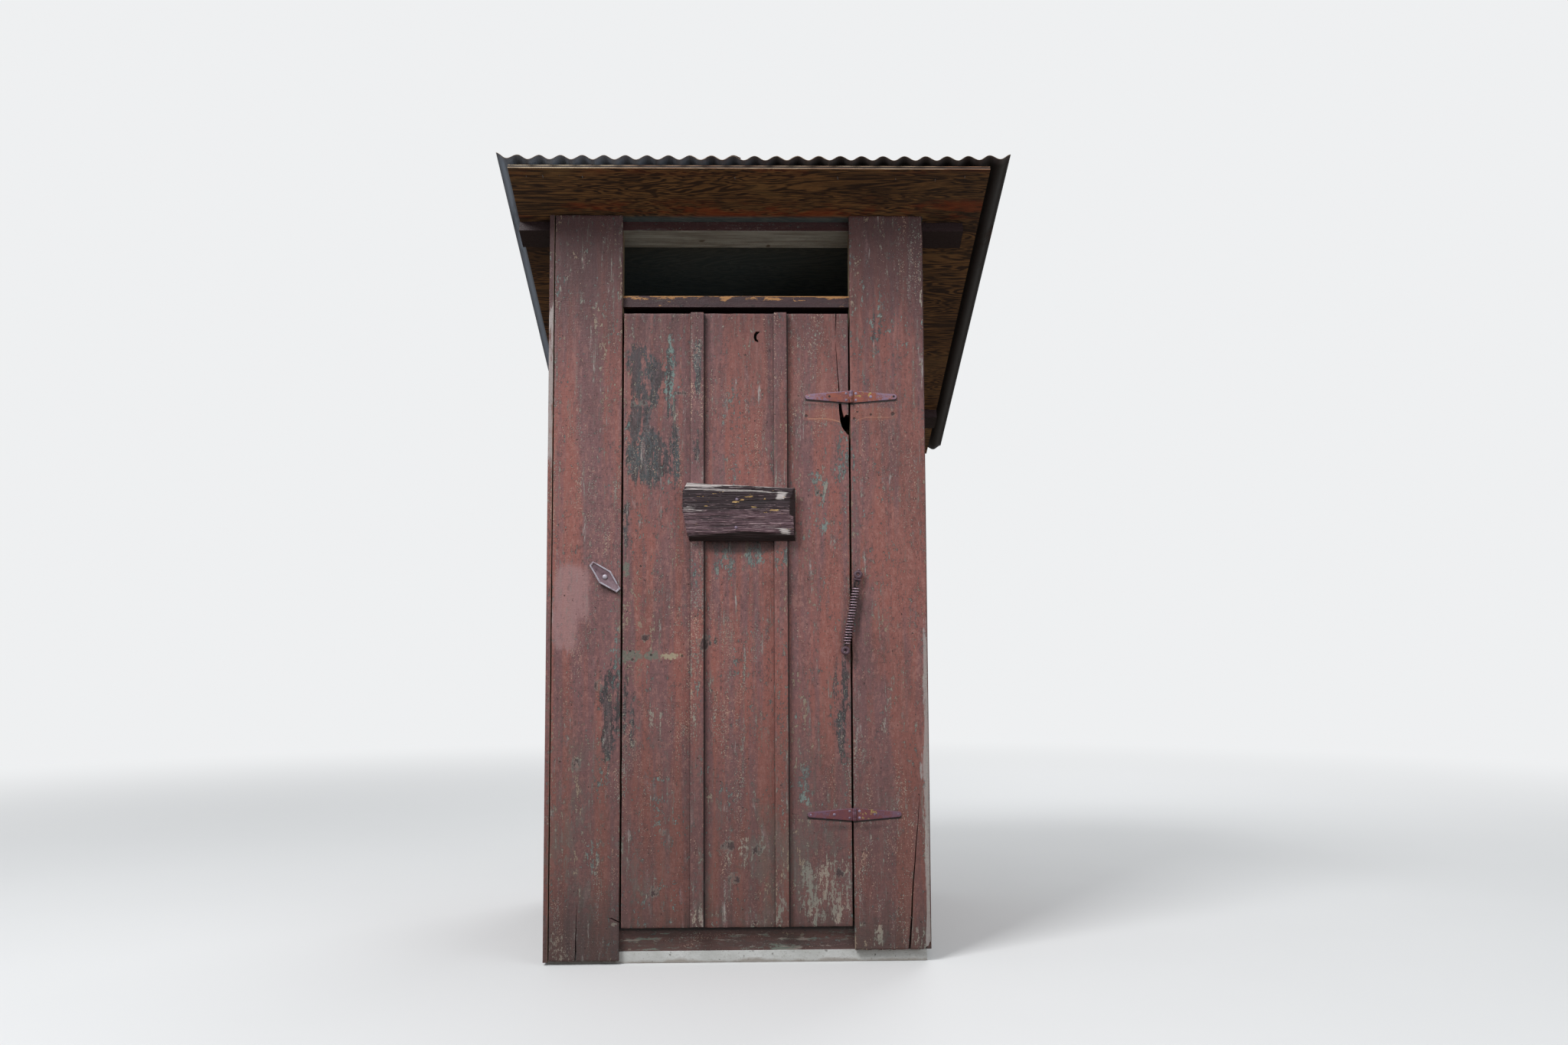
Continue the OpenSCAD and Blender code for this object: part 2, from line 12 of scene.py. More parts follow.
import bmesh
import bpy
import numpy as np
from mathutils import Matrix, Vector, noise
from mathutils.bvhtree import BVHTree


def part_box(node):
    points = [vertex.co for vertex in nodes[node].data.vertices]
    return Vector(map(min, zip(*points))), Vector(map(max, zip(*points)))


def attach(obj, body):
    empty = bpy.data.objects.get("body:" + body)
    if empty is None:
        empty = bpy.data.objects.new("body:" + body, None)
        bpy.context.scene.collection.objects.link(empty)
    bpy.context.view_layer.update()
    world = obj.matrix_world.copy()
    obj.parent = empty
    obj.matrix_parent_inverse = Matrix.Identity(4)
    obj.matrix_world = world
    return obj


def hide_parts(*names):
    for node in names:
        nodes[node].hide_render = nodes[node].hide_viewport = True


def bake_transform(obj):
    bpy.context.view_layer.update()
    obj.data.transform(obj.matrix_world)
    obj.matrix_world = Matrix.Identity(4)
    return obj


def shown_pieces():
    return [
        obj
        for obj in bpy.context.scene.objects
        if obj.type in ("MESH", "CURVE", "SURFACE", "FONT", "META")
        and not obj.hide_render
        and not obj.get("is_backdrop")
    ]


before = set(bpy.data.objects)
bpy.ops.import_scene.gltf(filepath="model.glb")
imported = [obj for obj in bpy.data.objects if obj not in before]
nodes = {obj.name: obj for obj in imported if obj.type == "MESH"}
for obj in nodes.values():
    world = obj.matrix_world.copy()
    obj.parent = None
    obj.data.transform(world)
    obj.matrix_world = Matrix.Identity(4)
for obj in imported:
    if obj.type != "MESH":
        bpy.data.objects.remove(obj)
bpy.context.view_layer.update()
scene = bpy.context.scene

# %% [markdown]
# ## Camera and light
#
# The camera stands where the photographer stood: about 4.5 m in front of the
# door at the height of a chest, looking up a little. The angles come from
# fitting the building's known corners to the picture.

# %% The camera
PHOTO_WIDTH = 2048
FOCAL_PIXELS = 1770
SENSOR = 36.0
EYE = (0.047, -5.106, 1.055)
TURN_RIGHT, LOOK_UP, LEAN = (math.radians(a) for a in (1.37, 4.77, 0.25))

camera_data = bpy.data.cameras.new("camera")
camera_data.sensor_width = SENSOR
camera_data.lens = SENSOR * FOCAL_PIXELS / PHOTO_WIDTH
camera = bpy.data.objects.new("camera", camera_data)
scene.collection.objects.link(camera)
camera.matrix_world = (
    Matrix.Translation(EYE)
    @ Matrix.Rotation(-TURN_RIGHT, 4, "Z")
    @ Matrix.Rotation(math.pi / 2 + LOOK_UP, 4, "X")
    @ Matrix.Rotation(-LEAN, 4, "Z")
)
scene.camera = camera
scene.view_settings.view_transform = "Standard"
print("lens", round(camera_data.lens, 2), "mm")

# %% [markdown]
# A broad lamp from the upper left gives the soft shade that falls to the right
# of every batten, and a weaker one opens the shadows. The sky does the rest.
# The world and the floor are a plain pale grey to the camera, so the object
# stands out without more light on it.

# %% Sky and lamps
SKY_STRENGTH = 0.42
BACKDROP = (0.86, 0.87, 0.88, 1)


def sky():
    """An even sky that the camera, mirrors and glass see as a pale backdrop."""
    world = bpy.data.worlds.new("sky")
    scene.world = world
    world.use_nodes = True
    tree = world.node_tree
    tree.nodes.clear()
    rays = tree.nodes.new("ShaderNodeLightPath")
    seen = tree.nodes.new("ShaderNodeMath")
    seen.operation = "MAXIMUM"
    tree.links.new(rays.outputs["Is Camera Ray"], seen.inputs[0])
    tree.links.new(rays.outputs["Is Glossy Ray"], seen.inputs[1])
    light = tree.nodes.new("ShaderNodeBackground")
    light.inputs["Color"].default_value = (0.95, 0.98, 1, 1)
    light.inputs["Strength"].default_value = SKY_STRENGTH
    plain = tree.nodes.new("ShaderNodeBackground")
    plain.inputs["Color"].default_value = BACKDROP
    either = tree.nodes.new("ShaderNodeMixShader")
    out = tree.nodes.new("ShaderNodeOutputWorld")
    tree.links.new(seen.outputs[0], either.inputs[0])
    tree.links.new(light.outputs[0], either.inputs[1])
    tree.links.new(plain.outputs[0], either.inputs[2])
    tree.links.new(either.outputs[0], out.inputs[0])


def soft_lamp(name, place, target, size, watts):
    """A square lamp at a place that faces a target."""
    data = bpy.data.lights.new(name, "AREA")
    data.size = size
    data.energy = watts
    lamp = bpy.data.objects.new(name, data)
    scene.collection.objects.link(lamp)
    lamp.location = place
    lamp.rotation_euler = (Vector(target) - Vector(place)).to_track_quat("-Z", "Y").to_euler()


sky()
soft_lamp("key_lamp", (-3.4, -4.4, 6.6), (0, 0, 1.2), 2.6, 430)
soft_lamp("fill_lamp", (4.5, -4.5, 2.6), (0, 0, 1.2), 4.0, 60)
soft_lamp("back_lamp", (3.0, 6.0, 5.0), (0, 0, 1.2), 4.0, 160)
print("sky at", SKY_STRENGTH, "and", len(bpy.data.lights), "lamps")

# %% [markdown]
# ## Building shaders from short sums
#
# A worn surface is a pile of masks. Wiring each Math node by hand hides what
# the pile says, so a small class wraps one output of a node tree and turns
# Python's own operators into Math nodes. The same class builds the geometry
# trees further down.


# %% Wires
class Wire:
    """One output of a node tree. Sums of wires add Math nodes."""

    def __init__(self, tree, socket):
        self.tree = tree
        self.socket = socket

    def add(self, kind, settings=None, sockets=None, out=0):
        """Adds a node: its settings first, then its sockets' values or links."""
        made = self.tree.nodes.new(kind)
        for key, value in (settings or {}).items():
            setattr(made, key, value)
        for key, value in (sockets or {}).items():
            if isinstance(value, Wire):
                self.tree.links.new(value.socket, made.inputs[key])
            else:
                made.inputs[key].default_value = value
        return Wire(self.tree, made.outputs[out])

    def maths(self, operation, other=0.0):
        """A Math node on this number, and on another one where it takes two."""
        return self.add("ShaderNodeMath", {"operation": operation}, {0: self, 1: other})

    def __add__(self, other):
        return self.maths("ADD", other)

    __radd__ = __add__

    def __sub__(self, other):
        return self.maths("SUBTRACT", other)

    def __rsub__(self, other):
        return self.add("ShaderNodeMath", {"operation": "SUBTRACT"}, {0: other, 1: self})

    def __mul__(self, other):
        return self.maths("MULTIPLY", other)

    __rmul__ = __mul__

    def __truediv__(self, other):
        return self.maths("DIVIDE", other)

    def least(self, other):
        return self.maths("MINIMUM", other)

    def most(self, other):
        return self.maths("MAXIMUM", other)

    def size(self):
        """The number without its sign."""
        return self.maths("ABSOLUTE")

    def waves(self):
        """Swings between 0 and 1, once for each full turn of the number."""
        return self.maths("SINE") * 0.5 + 0.5

    def between(self, low, high):
        """0 at low, 1 at high, and smooth between them."""
        ends = {"Value": self, "From Min": low, "From Max": high}
        return self.add("ShaderNodeMapRange", {"interpolation_type": "SMOOTHSTEP"}, ends)

    def stretched(self, scale):
        """A place that is scaled along each axis, to draw a pattern out."""
        return self.add("ShaderNodeMapping", None, {"Vector": self, "Scale": scale})

    def drawn(self, along, share):
        """A place whose patterns come out long along one axis."""
        return self.stretched(tuple(share if axis == along else 1.0 for axis in "XYZ"))

    def cloud(self, scale, detail=3.0, rough=0.5, bend=0.0):
        """Noise at this place, around 0.5."""
        sizes = {"Vector": self, "Scale": scale, "Detail": detail, "Roughness": rough, "Distortion": bend}
        return self.add("ShaderNodeTexNoise", None, sizes)

    def parts(self):
        """The x, y and z of a place."""
        split = self.add("ShaderNodeSeparateXYZ", None, {0: self})
        return [Wire(self.tree, s) for s in split.socket.node.outputs]

    def away_from(self, point):
        """The distance of this place from a point."""
        return self.add("ShaderNodeVectorMath", {"operation": "DISTANCE"}, {0: self, 1: point}, out=1)

    def mark(self, name):
        """A mask that was painted on the piece's own points."""
        return self.add("ShaderNodeAttribute", {"attribute_name": name}, None, out=2)


print("wires ready")

# %% [markdown]
# Colours are written as a screen shows them, as three numbers from 0 to 255. A
# worn surface is then one colour with more colours laid over it, each through
# its own mask. Every finish ends with a roughness and a height for its relief.


# %% Colours and finishes
def as_linear(colour):
    """A colour as it is read off a screen, three parts from 0 to 255, made linear."""
    if isinstance(colour, Wire):
        return colour
    parts = [part / 255 for part in colour]
    return (*(p / 12.92 if p <= 0.04045 else ((p + 0.055) / 1.055) ** 2.4 for p in parts), 1.0)


def blend(mask, under, over):
    """One colour over another where the mask is 1."""
    sockets = {0: mask, 6: as_linear(under), 7: as_linear(over)}
    return mask.add("ShaderNodeMix", {"data_type": "RGBA"}, sockets, out=2)


def coats(colour, *layers):
    """Lays colours over a colour in turn, each through its own mask."""
    for mask, over in layers:
        colour = blend(mask, colour, over)
    return colour


def new_finish(name):
    """A material with an empty shader, and the wire of its Object coordinates."""
    material = bpy.data.materials.new(name)
    material.use_nodes = True
    tree = material.node_tree
    tree.nodes.clear()
    shader = tree.nodes.new("ShaderNodeBsdfPrincipled")
    out = tree.nodes.new("ShaderNodeOutputMaterial")
    tree.links.new(shader.outputs[0], out.inputs[0])
    place = tree.nodes.new("ShaderNodeTexCoord")
    return material, shader, Wire(tree, place.outputs["Object"])


def set_finish(shader, colour, roughness, height, depth, metallic=None):
    """Plugs the finished wires into the shader. Depth is the relief in metres."""
    tree = shader.id_data
    tree.links.new(colour.socket, shader.inputs["Base Color"])
    tree.links.new(roughness.socket, shader.inputs["Roughness"])
    if metallic:
        tree.links.new(metallic.socket, shader.inputs["Metallic"])
    relief = height.add("ShaderNodeBump", None, {"Strength": 1.0, "Distance": depth, "Height": height})
    tree.links.new(relief.socket, shader.inputs["Normal"])


print("shader helpers ready")

# %% [markdown]
# ## The floor
#
# The stage is one wide pale sheet. Its own colour, not more light, makes it pale.

# %% A pale floor
bpy.ops.mesh.primitive_plane_add(size=60, location=(0, 0, -0.001))
floor = bpy.context.object
floor.name = "studio_floor"
floor_finish, floor_shader, floor_place = new_finish("studio_grey")
seen = floor_place.add("ShaderNodeLightPath")
near = blend(floor_place.cloud(0.6), (228, 229, 230), (232, 233, 234))
floor_tone = blend(seen, (120, 112, 104), near)
set_finish(floor_shader, floor_tone, floor_place.cloud(3.0) * 0.1 + 0.75, floor_place.cloud(40.0), 0.0002)
tree = floor_finish.node_tree
distance = floor_place.add("ShaderNodeVectorMath", {"operation": "LENGTH"}, {0: floor_place}, out=1)
far = distance.between(3.2, 9.0) * seen
haze = tree.nodes.new("ShaderNodeEmission")
haze.inputs["Color"].default_value = BACKDROP
either = tree.nodes.new("ShaderNodeMixShader")
tree.links.new(far.socket, either.inputs[0])
tree.links.new(floor_shader.outputs[0], either.inputs[1])
tree.links.new(haze.outputs[0], either.inputs[2])
tree.links.new(either.outputs[0], tree.nodes["Material Output"].inputs[0])
floor.data.materials.append(floor_finish)
floor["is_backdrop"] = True
print("floor laid")

# %% [markdown]
# ## Paint on old boards
#
# The real paint is a red-brown that has faded to mauve, on rough-sawn pine. Up
# close it is broken by grey and turquoise flecks where the paint has gone, by
# black mildew, by chalky scuffs and by dirt near the ground. Every one of these
# follows the grain. The places of the walls and hinges come first, because
# some of the wear belongs to them.

# %% Where the faces are
FACE_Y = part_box("front_board_left")[0].y
SIDE_INNER = -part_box("side_wall_left")[1].x
BACK_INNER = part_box("back_wall")[0].y
SLOPE = math.radians(22.5)
ROOF_ORIGIN = Vector((0, FACE_Y, 2.474))
HINGE_X = 0.3805
HINGE_HEIGHTS = (1.851, 0.472)


def in_roof(y, z):
    """How far a place lies down the slope from the wall's face, and how far over the roof's frame."""
    back, rise = y - ROOF_ORIGIN.y, z - ROOF_ORIGIN.z
    return back * math.cos(SLOPE) - rise * math.sin(SLOPE), back * math.sin(SLOPE) + rise * math.cos(SLOPE)


print("inner faces at", round(SIDE_INNER, 4), round(BACK_INNER, 4))

# %% [markdown]
# All the wear is made from the same few noises, and one small class keeps them
# together. Each is drawn out along the board: the more it is drawn out, the
# more it looks like grain.


# %% Noises along the grain
class Grain:
    """The noises that break up every coat on a board, around 0."""

    def __init__(self, place, along):
        self.place = place
        self.along = along
        self.x, self.y, self.z = place.parts()
        long_grain, drawn = place.drawn(along, 0.06), place.drawn(along, 0.13)
        self.drift = long_grain.cloud(15.0, 4.0, 0.6, 0.5) - 0.5
        self.streaks = long_grain.cloud(80.0, 5.0, 0.75, 0.3) - 0.5
        self.fibre = long_grain.cloud(420.0, 3.0, 0.6)
        self.runs = drawn.cloud(44.0, 3.0, 0.55, 0.6) - 0.5
        self.other_runs = drawn.cloud(61.0, 3.0, 0.55, 0.6) - 0.5
        self.crowd = place.drawn(along, 0.25).cloud(9.0, 4.0, 0.6, 0.5) - 0.5
        self.mottle = place.drawn(along, 0.3).cloud(30.0, 6.0, 0.72, 0.4) - 0.5
        self.patches = place.drawn(along, 0.45).cloud(6.0, 5.0, 0.68) - 0.5
        self.speck = place.drawn(along, 0.55).cloud(105.0, 3.0, 0.7) - 0.5
        self.grit = place.drawn(along, 0.75).cloud(230.0, 3.0, 0.65) - 0.5
        self.saw = place.drawn("X" if along == "Z" else "Z", 0.08).cloud(330.0, 2.0, 0.6)

    def mark(self, name):
        return self.place.mark(name)


print("grain ready")

# %% [markdown]
# The coat itself is red where it is thick and mauve where it has chalked. It
# darkens towards the ground, where rain splashes soil on it. Higher up it is
# darkened with painted shade, most right under the eaves.

# %% The coat
PAINT_WARM = (148, 92, 84)
PAINT_MAUVE = (126, 89, 91)
PAINT_DARK = (74, 48, 46)
PAINT_PALE = (170, 124, 116)


def faded_coat(g, board):
    """Red paint, a little different on each board, dirty at the foot, and darkened towards the head with painted
    shade.
    """
    grit = g.grit * 0.8
    ground_dirt = (g.z + g.patches * 0.6).between(1.05, 0.25)
    haze = (g.patches + g.mottle * 1.2 + g.crowd * 0.8 + g.speck * 0.5).between(0.02, 0.22) * g.z.between(0.95, 0.35)
    splash = (g.z + g.streaks * 0.3 + g.runs * 0.3).between(0.22, 0.04)
    # Painted shade under the eaves, with a ragged lower edge.
    eaves = (g.z + g.runs * 0.5).between(1.85, 2.34)
    return coats(
        blend(g.drift.between(-0.07, 0.07), PAINT_MAUVE, PAINT_WARM),
        (board * 0.3, PAINT_DARK),
        (g.patches.between(-0.02, 0.16) * 0.3, PAINT_DARK),
        (g.patches.between(-0.03, -0.15) * 0.3, (160, 94, 82)),
        ((g.runs + grit).between(0.06, 0.20) * 0.4, PAINT_DARK),
        ((g.runs - grit).between(-0.07, -0.20) * 0.25, PAINT_PALE),
        ((g.mottle * 0.8 + g.speck + grit).between(0.05, 0.18) * 0.6, (78, 52, 52)),
        ((g.mottle * 0.6 + g.speck * 1.2).between(-0.07, -0.17) * 0.42, PAINT_PALE),
        (g.streaks.between(0.03, 0.16) * 0.2, PAINT_DARK),
        (ground_dirt * 0.46, (84, 60, 55)),
        (haze * 0.36, (104, 108, 102)),
        (splash * 0.6, (70, 60, 57)),
        # Painted shade: the upper boards darker, and darkest under the eaves.
        (g.z.between(1.25, 1.95) * 0.20, (66, 30, 36)),
        (eaves * 0.8, (58, 28, 30)),
    )


print("coat ready")

# %% [markdown]
# What eats the coat comes as a mask and a tone each time. Where a stain belongs
# to one place, such as the mildew at the top of the door, its mask is written
# on the board's own points further down, and the noises only tear its edge.


# %% Mildew, flecks, chips and chalk
def mildew_on(g):
    """Slate-dark streaks with torn edges, thick where the board stays damp."""
    damp = g.runs * 1.5 + g.mottle * 1.3 + g.speck * 1.3 + g.streaks * 0.8 + g.mark("mildew") * 0.72
    mould = blend(g.crowd.between(-0.1, 0.1), (58, 76, 80), (66, 56, 60))
    mould = blend((g.streaks + g.speck + g.mottle * 0.5).between(-0.02, 0.12), mould, (30, 33, 38))
    return damp.between(0.33, 0.53), mould


def flecks_on(g):
    """Small blobs where the red is off, down to an older turquoise or the grey wood."""
    flaky = g.other_runs + g.grit + g.speck * 2.2 + g.crowd * 0.9 + g.mark("fleck") * 0.34 + g.mark("edge") * 0.10
    tone = blend((g.mottle + g.grit).between(-0.08, 0.10), (128, 150, 146), (84, 96, 96))
    bare = (g.crowd + g.patches - g.mark("fleck") * 0.3).between(0.02, 0.12)
    return flaky.between(0.36, 0.43), blend(bare, tone, (158, 140, 122))


def chips_on(g):
    """Small pale spots where the paint has flaked off its primer."""
    chip = g.place.drawn(g.along, 0.9).cloud(250.0, 1.0, 0.5) - 0.5
    chip = chip + g.runs * 0.5 - g.crowd * 0.7 + g.mark("edge") * 0.06
    return chip.between(0.225, 0.275), blend(g.mottle.between(-0.05, 0.05), (190, 160, 142), (150, 156, 146))


def chalk_on(g):
    """Pale worn wood at the edges and feet of the boards."""
    rubbed = g.streaks * 2.0 + g.mottle * 1.2 + g.speck * 2.6 + g.runs * 0.8 + g.mark("chalk") * 0.74
    return rubbed.between(0.53, 0.72), blend(g.crowd.between(-0.06, 0.08), (172, 160, 146), (142, 142, 132))


print("wear ready")

# %% [markdown]
# People have left marks too: a patch of fresher paint, pale flecks, the ghost
# of an older strap hinge, and screw holes. Knots show through. Painted shadows
# lie along the door's battens and where the spring, the sign, the button and the
# hinges stand out from the boards.

# %% Marks of use
SCREW_HOLES = [
    (-0.3533, 1.0055, 0.0032), (-0.3457, 0.9779, 0.0036), (-0.2843, 0.9926, 0.0036), (-0.1825, 0.9896, 0.0036),
    (0.2303, 1.7865, 0.0046), (0.4014, 1.8001, 0.0030), (0.3907, 1.7773, 0.0038), (0.4465, 1.7905, 0.0034),
    (0.5200, 1.7931, 0.0056), (-0.1177, 1.7214, 0.0042),
]
# Where the painted shadow beside the battens lies: its middle, half width and strength.
BATTEN_SIDES = ((-0.1095, 0.0040, 1.0), (0.1675, 0.0040, 1.0), (-0.1570, 0.0024, 0.45), (0.1200, 0.0024, 0.45))


def line_at(place, middle, half):
    """1 on a thin line at a place along one axis, 0 beside it."""
    return (place - middle).size().between(half, half * 0.3)


def pits_on(g, screw_holes):
    """Dark pits, and the given holes."""
    pits = g.place.drawn(g.along, 0.7).cloud(95.0, 2.0, 0.5).between(0.725, 0.75)
    for x, z, radius in screw_holes:
        pits = pits.most(g.place.away_from((x, FACE_Y, z)).between(radius * 1.35, radius * 0.85))
    return pits


def marked(g, colour, knot, pits):
    """The paint with every mark of use on it, and painted shadows beside the battens and under what stands out."""
    fresh = (g.mark("repaint") + g.mottle * 1.8 + g.runs * 1.4 + g.grit).between(0.1, 0.9)
    printed = (g.mark("print") * 0.8 + g.mottle * 3.0 + g.speck * 2.4).between(0.34, 0.56)
    printed = printed * g.mark("print").between(0.05, 0.3)
    ink = blend(g.crowd.between(-0.05, 0.05), (176, 164, 138), (112, 114, 104))
    strap = (g.mark("strap") + g.streaks * 0.9 + g.mottle * 0.8).between(0.3, 0.7)
    # Painted shadow: a dark line along both sides of each batten, stronger on the right.
    batten_shadow = sum(line_at(g.x, middle, half) * share for middle, half, share in BATTEN_SIDES)
    batten_shadow = batten_shadow * g.mark("batten_shadow") * (g.streaks * 0.8 + 0.9)
    # Painted shadow where the spring, the sign, the button and the hinges stand out.
    cast_shadow = (g.mark("cast_shadow") + g.mottle * 0.8).between(0.05, 1.0)
    return coats(
        colour,
        (fresh * 0.75, (164, 128, 128)),
        (printed * 0.85, ink),
        (strap * 0.4, (148, 88, 72)),
        ((knot + g.streaks * 2.0 + g.speck).between(0.1, 0.5) * 0.48, (136, 138, 130)),
        ((knot + g.speck * 0.6).between(0.36, 0.66) * 0.85, (58, 36, 42)),
        (pits * 0.8, (40, 28, 28)),
        (batten_shadow.least(0.9), (38, 26, 28)),
        (cast_shadow * 0.75, (40, 28, 30)),
    )


print(len(SCREW_HOLES), "screw holes")

# %% [markdown]
# One function lays all of it on. The walls are one solid each, so their boards
# are told apart by a white noise that steps from board to board, and the front
# boards by a number on their own points.

# %% The whole paint
WALL_BOARD = 0.29


def wall_boards(g):
    """A random number for each board of a planked wall."""
    cell, deep = (g.x + WALL_BOARD * 1.5) / WALL_BOARD, (g.y + WALL_BOARD * 1.5) / WALL_BOARD
    across = cell.maths("FLOOR") + deep.maths("FLOOR") * 7.3
    return across.add("ShaderNodeTexWhiteNoise", {"noise_dimensions": "1D"}, {"W": across})


def worn_paint(name, touch, along="Z", planked=False):
    """Old paint whose grain runs along an axis. A touch adds what one part alone has."""
    material, shader, place = new_finish(name)
    g = Grain(place, along)
    mildew, mould = mildew_on(g)
    fleck, fleck_tone = flecks_on(g)
    chips, chip_tone = chips_on(g)
    chalk, chalk_tone = chalk_on(g)
    knot = (g.mark("knot") * 0.8 + g.mottle * 2.0 + g.speck * 1.2) * g.mark("knot").between(0.0, 0.3)
    pits = pits_on(g, SCREW_HOLES if along == "Z" and not planked else [])
    colour = coats(
        faded_coat(g, wall_boards(g) if planked else g.mark("plank")),
        (mildew * 0.86, mould),
        (fleck * 0.8, fleck_tone),
        (chips * 0.7, chip_tone),
        (chalk * 0.8, chalk_tone),
    )
    colour = touch(g, marked(g, colour, knot, pits))
    height = g.fibre * 0.4 + g.streaks * 0.5 + g.saw * 0.35 + g.mottle * 0.8 + g.grit * 0.5
    height = height - fleck * 0.5 - chalk * 0.2 - pits * 0.8 - chips * 0.4 + knot * 0.3
    roughness = fleck * 0.15 + mildew * 0.1 + g.streaks * 0.3 + g.grit * 0.3 + 0.55
    set_finish(shader, colour, roughness, height, 0.0015)
    return material


print("paint ready")

# %% [markdown]
# Some parts have wear that no other has. The front boards have painted shadows
# under the hinges and wood rubbed white at the corners. The faces towards the
# room were never painted at all.


# %% What only the boards and walls have
def unpainted(g, inside, colour):
    """Bare weathered wood on the faces towards the room."""
    wood = blend(g.streaks.between(-0.12, 0.12), (138, 120, 98), (96, 82, 66))
    wood = blend(g.mottle.between(0.02, 0.14) * 0.5, wood, (74, 62, 52))
    return blend(inside, colour, wood)


def hinge_shadow(g, height):
    """A painted shadow under a hinge, which follows its tapering leaves."""
    from_pin = (g.x - HINGE_X).size()
    below = g.z - (from_pin * 0.0796 + (height - 0.0205))
    return below.between(-0.0080, -0.0045) * below.between(0.012, 0.008) * from_pin.between(0.158, 0.150)


def strap_rim(g):
    """The pale sagging rim of an older strap on both sides of the door's edge."""
    sag_left, sag_right = (g.x - 0.290).most(0.0), (0.440 - g.x).most(0.0)
    left = line_at(g.z + sag_left * sag_left * 4.0 - 1.777, 0.0, 0.0026)
    left = left * g.x.between(0.232, 0.240) * g.x.between(0.350, 0.346)
    right = line_at(g.z + sag_right * sag_right * 8.0 - 1.782, 0.0, 0.0020)
    right = right * g.x.between(0.392, 0.398) * g.x.between(0.520, 0.500)
    return (left * 0.75 + right * 0.4) * (g.streaks + 0.9).least(1.0)


def front_touch(g, colour):
    """Painted shadows under the hinges, the rim of an older strap, and wood rubbed white at the corner."""
    splashed = (g.z + g.mottle * 0.20 + g.streaks * 0.10).between(0.30, 0.16) * g.x.between(-0.384, -0.386)
    corner = g.x.between(0.604, 0.617) * g.z.between(1.20, 0.90)
    corner = corner + g.x.between(0.600, 0.622) * g.z.between(1.60, 1.10) * 0.4
    spots = g.x.between(0.592, 0.604) * g.z.between(0.57, 0.60) * g.z.between(0.70, 0.67)
    white = ((g.mottle + g.streaks) * 1.5 + corner * 0.48 + spots * 0.35).between(0.26, 0.48)
    colour = coats(
        colour,
        *((hinge_shadow(g, height) * 0.94, (20, 11, 12)) for height in HINGE_HEIGHTS),
        (strap_rim(g), (188, 136, 108)),
        (splashed * 0.34, (58, 54, 55)),
        (white * 0.75, (172, 166, 164)),
    )
    return unpainted(g, g.y.between(FACE_Y + 0.0180, FACE_Y + 0.0190), colour)


def wall_touch(g, colour):
    """Paint rubbed white off the front edge of the left wall."""
    left = g.x.between(-0.610, -0.613) * g.z.between(1.55, 1.70) * g.z.between(2.28, 2.12)
    worn = left * g.y.between(-0.614, -0.619)
    white = (g.mottle * 1.4 + g.streaks * 1.2 + worn * 0.45).between(0.28, 0.50)
    colour = blend(white * 0.8, colour, (170, 162, 160))
    inside = g.x.size().between(SIDE_INNER + 0.0008, SIDE_INNER + 0.0004)
    return unpainted(g, inside * g.y.between(BACK_INNER + 0.0008, BACK_INNER + 0.0004), colour)


front_paint = worn_paint("front_paint", front_touch)
wall_paint = worn_paint("wall_paint", wall_touch, planked=True)
print("paint for boards and walls")

# %% [markdown]
# The timbers that lie across have their grain along X. The header rail is
# darkened with painted shade and rubbed down to orange wood along its top, the
# board under the door is kicked and splashed and takes a painted shadow right
# under the door, and the purlins are darkened with painted shade under the eaves.


# %% What only the rails have
def rail_touch(g, colour):
    """A maroon rail darkened with painted shade, whose upper edge is rubbed down to orange wood."""
    rub = g.place.drawn("X", 0.35).cloud(52.0, 5.0, 0.7, 0.4) + g.streaks * 0.5
    rub = (rub + g.z.between(2.168, 2.199) * 0.14).between(0.645, 0.69)
    rub = rub + g.z.between(2.1955, 2.1975) * (g.mottle + g.streaks).between(-0.10, 0.02)
    # Painted shade darkens the whole rail; the orange is rubbed wood.
    return coats(colour, (g.mottle * 0.6 + 0.80, (40, 20, 28)), (rub.least(1.0) * 0.8, (190, 138, 82)))


def kick_touch(g, colour):
    """Kicked and splashed: darker overall, pale scrapes along the board, and a painted shadow right under the door.
    """
    scrape = g.place.drawn("X", 0.12).cloud(42.0, 5.0, 0.7, 0.5)
    scraped = blend(g.streaks.between(-0.05, 0.05), (160, 148, 140), (112, 124, 114))
    return coats(
        colour,
        (g.mottle * 0.8 + 0.2, (62, 44, 44)),
        ((scrape + g.mottle * 0.9).between(0.570, 0.63) * 0.8, scraped),
        # Painted shadow: a black band where the door's foot overhangs the board.
        ((g.z + g.mottle * 0.006).between(0.096, 0.105) * 0.9, (20, 11, 13)),
    )


def purlin_touch(g, colour):
    """Darkened with painted shade under the eaves, the ends and the underside most, and never painted above the door.
    """
    under = in_roof(g.y, g.z)[1].between(-0.0374, -0.0379)
    outside = g.x.between(-0.612, -0.618) + g.x.between(0.627, 0.631)
    knots = g.place.drawn("X", 0.5).cloud(30.0, 1.0, 0.3).between(0.72, 0.76)
    wood = blend(g.streaks.between(-0.15, 0.15), (170, 172, 166), (128, 126, 118))
    return coats(
        colour,
        # Painted shade: the whole face darker, the ends outside the walls darker still, the underside near black.
        (outside * 0.5 + 0.45, (34, 16, 20)),
        (under * 0.95, (30, 6, 6)),
        (under * g.x.between(-0.390, -0.386) * g.x.between(0.381, 0.378), blend(knots * 0.8, wood, (70, 54, 34))),
    )


rail_paint = worn_paint("rail_paint", rail_touch, along="X")
kick_paint = worn_paint("kick_paint", kick_touch, along="X")
purlin_paint = worn_paint("purlin_paint", purlin_touch, along="X")
print("paint for rails")

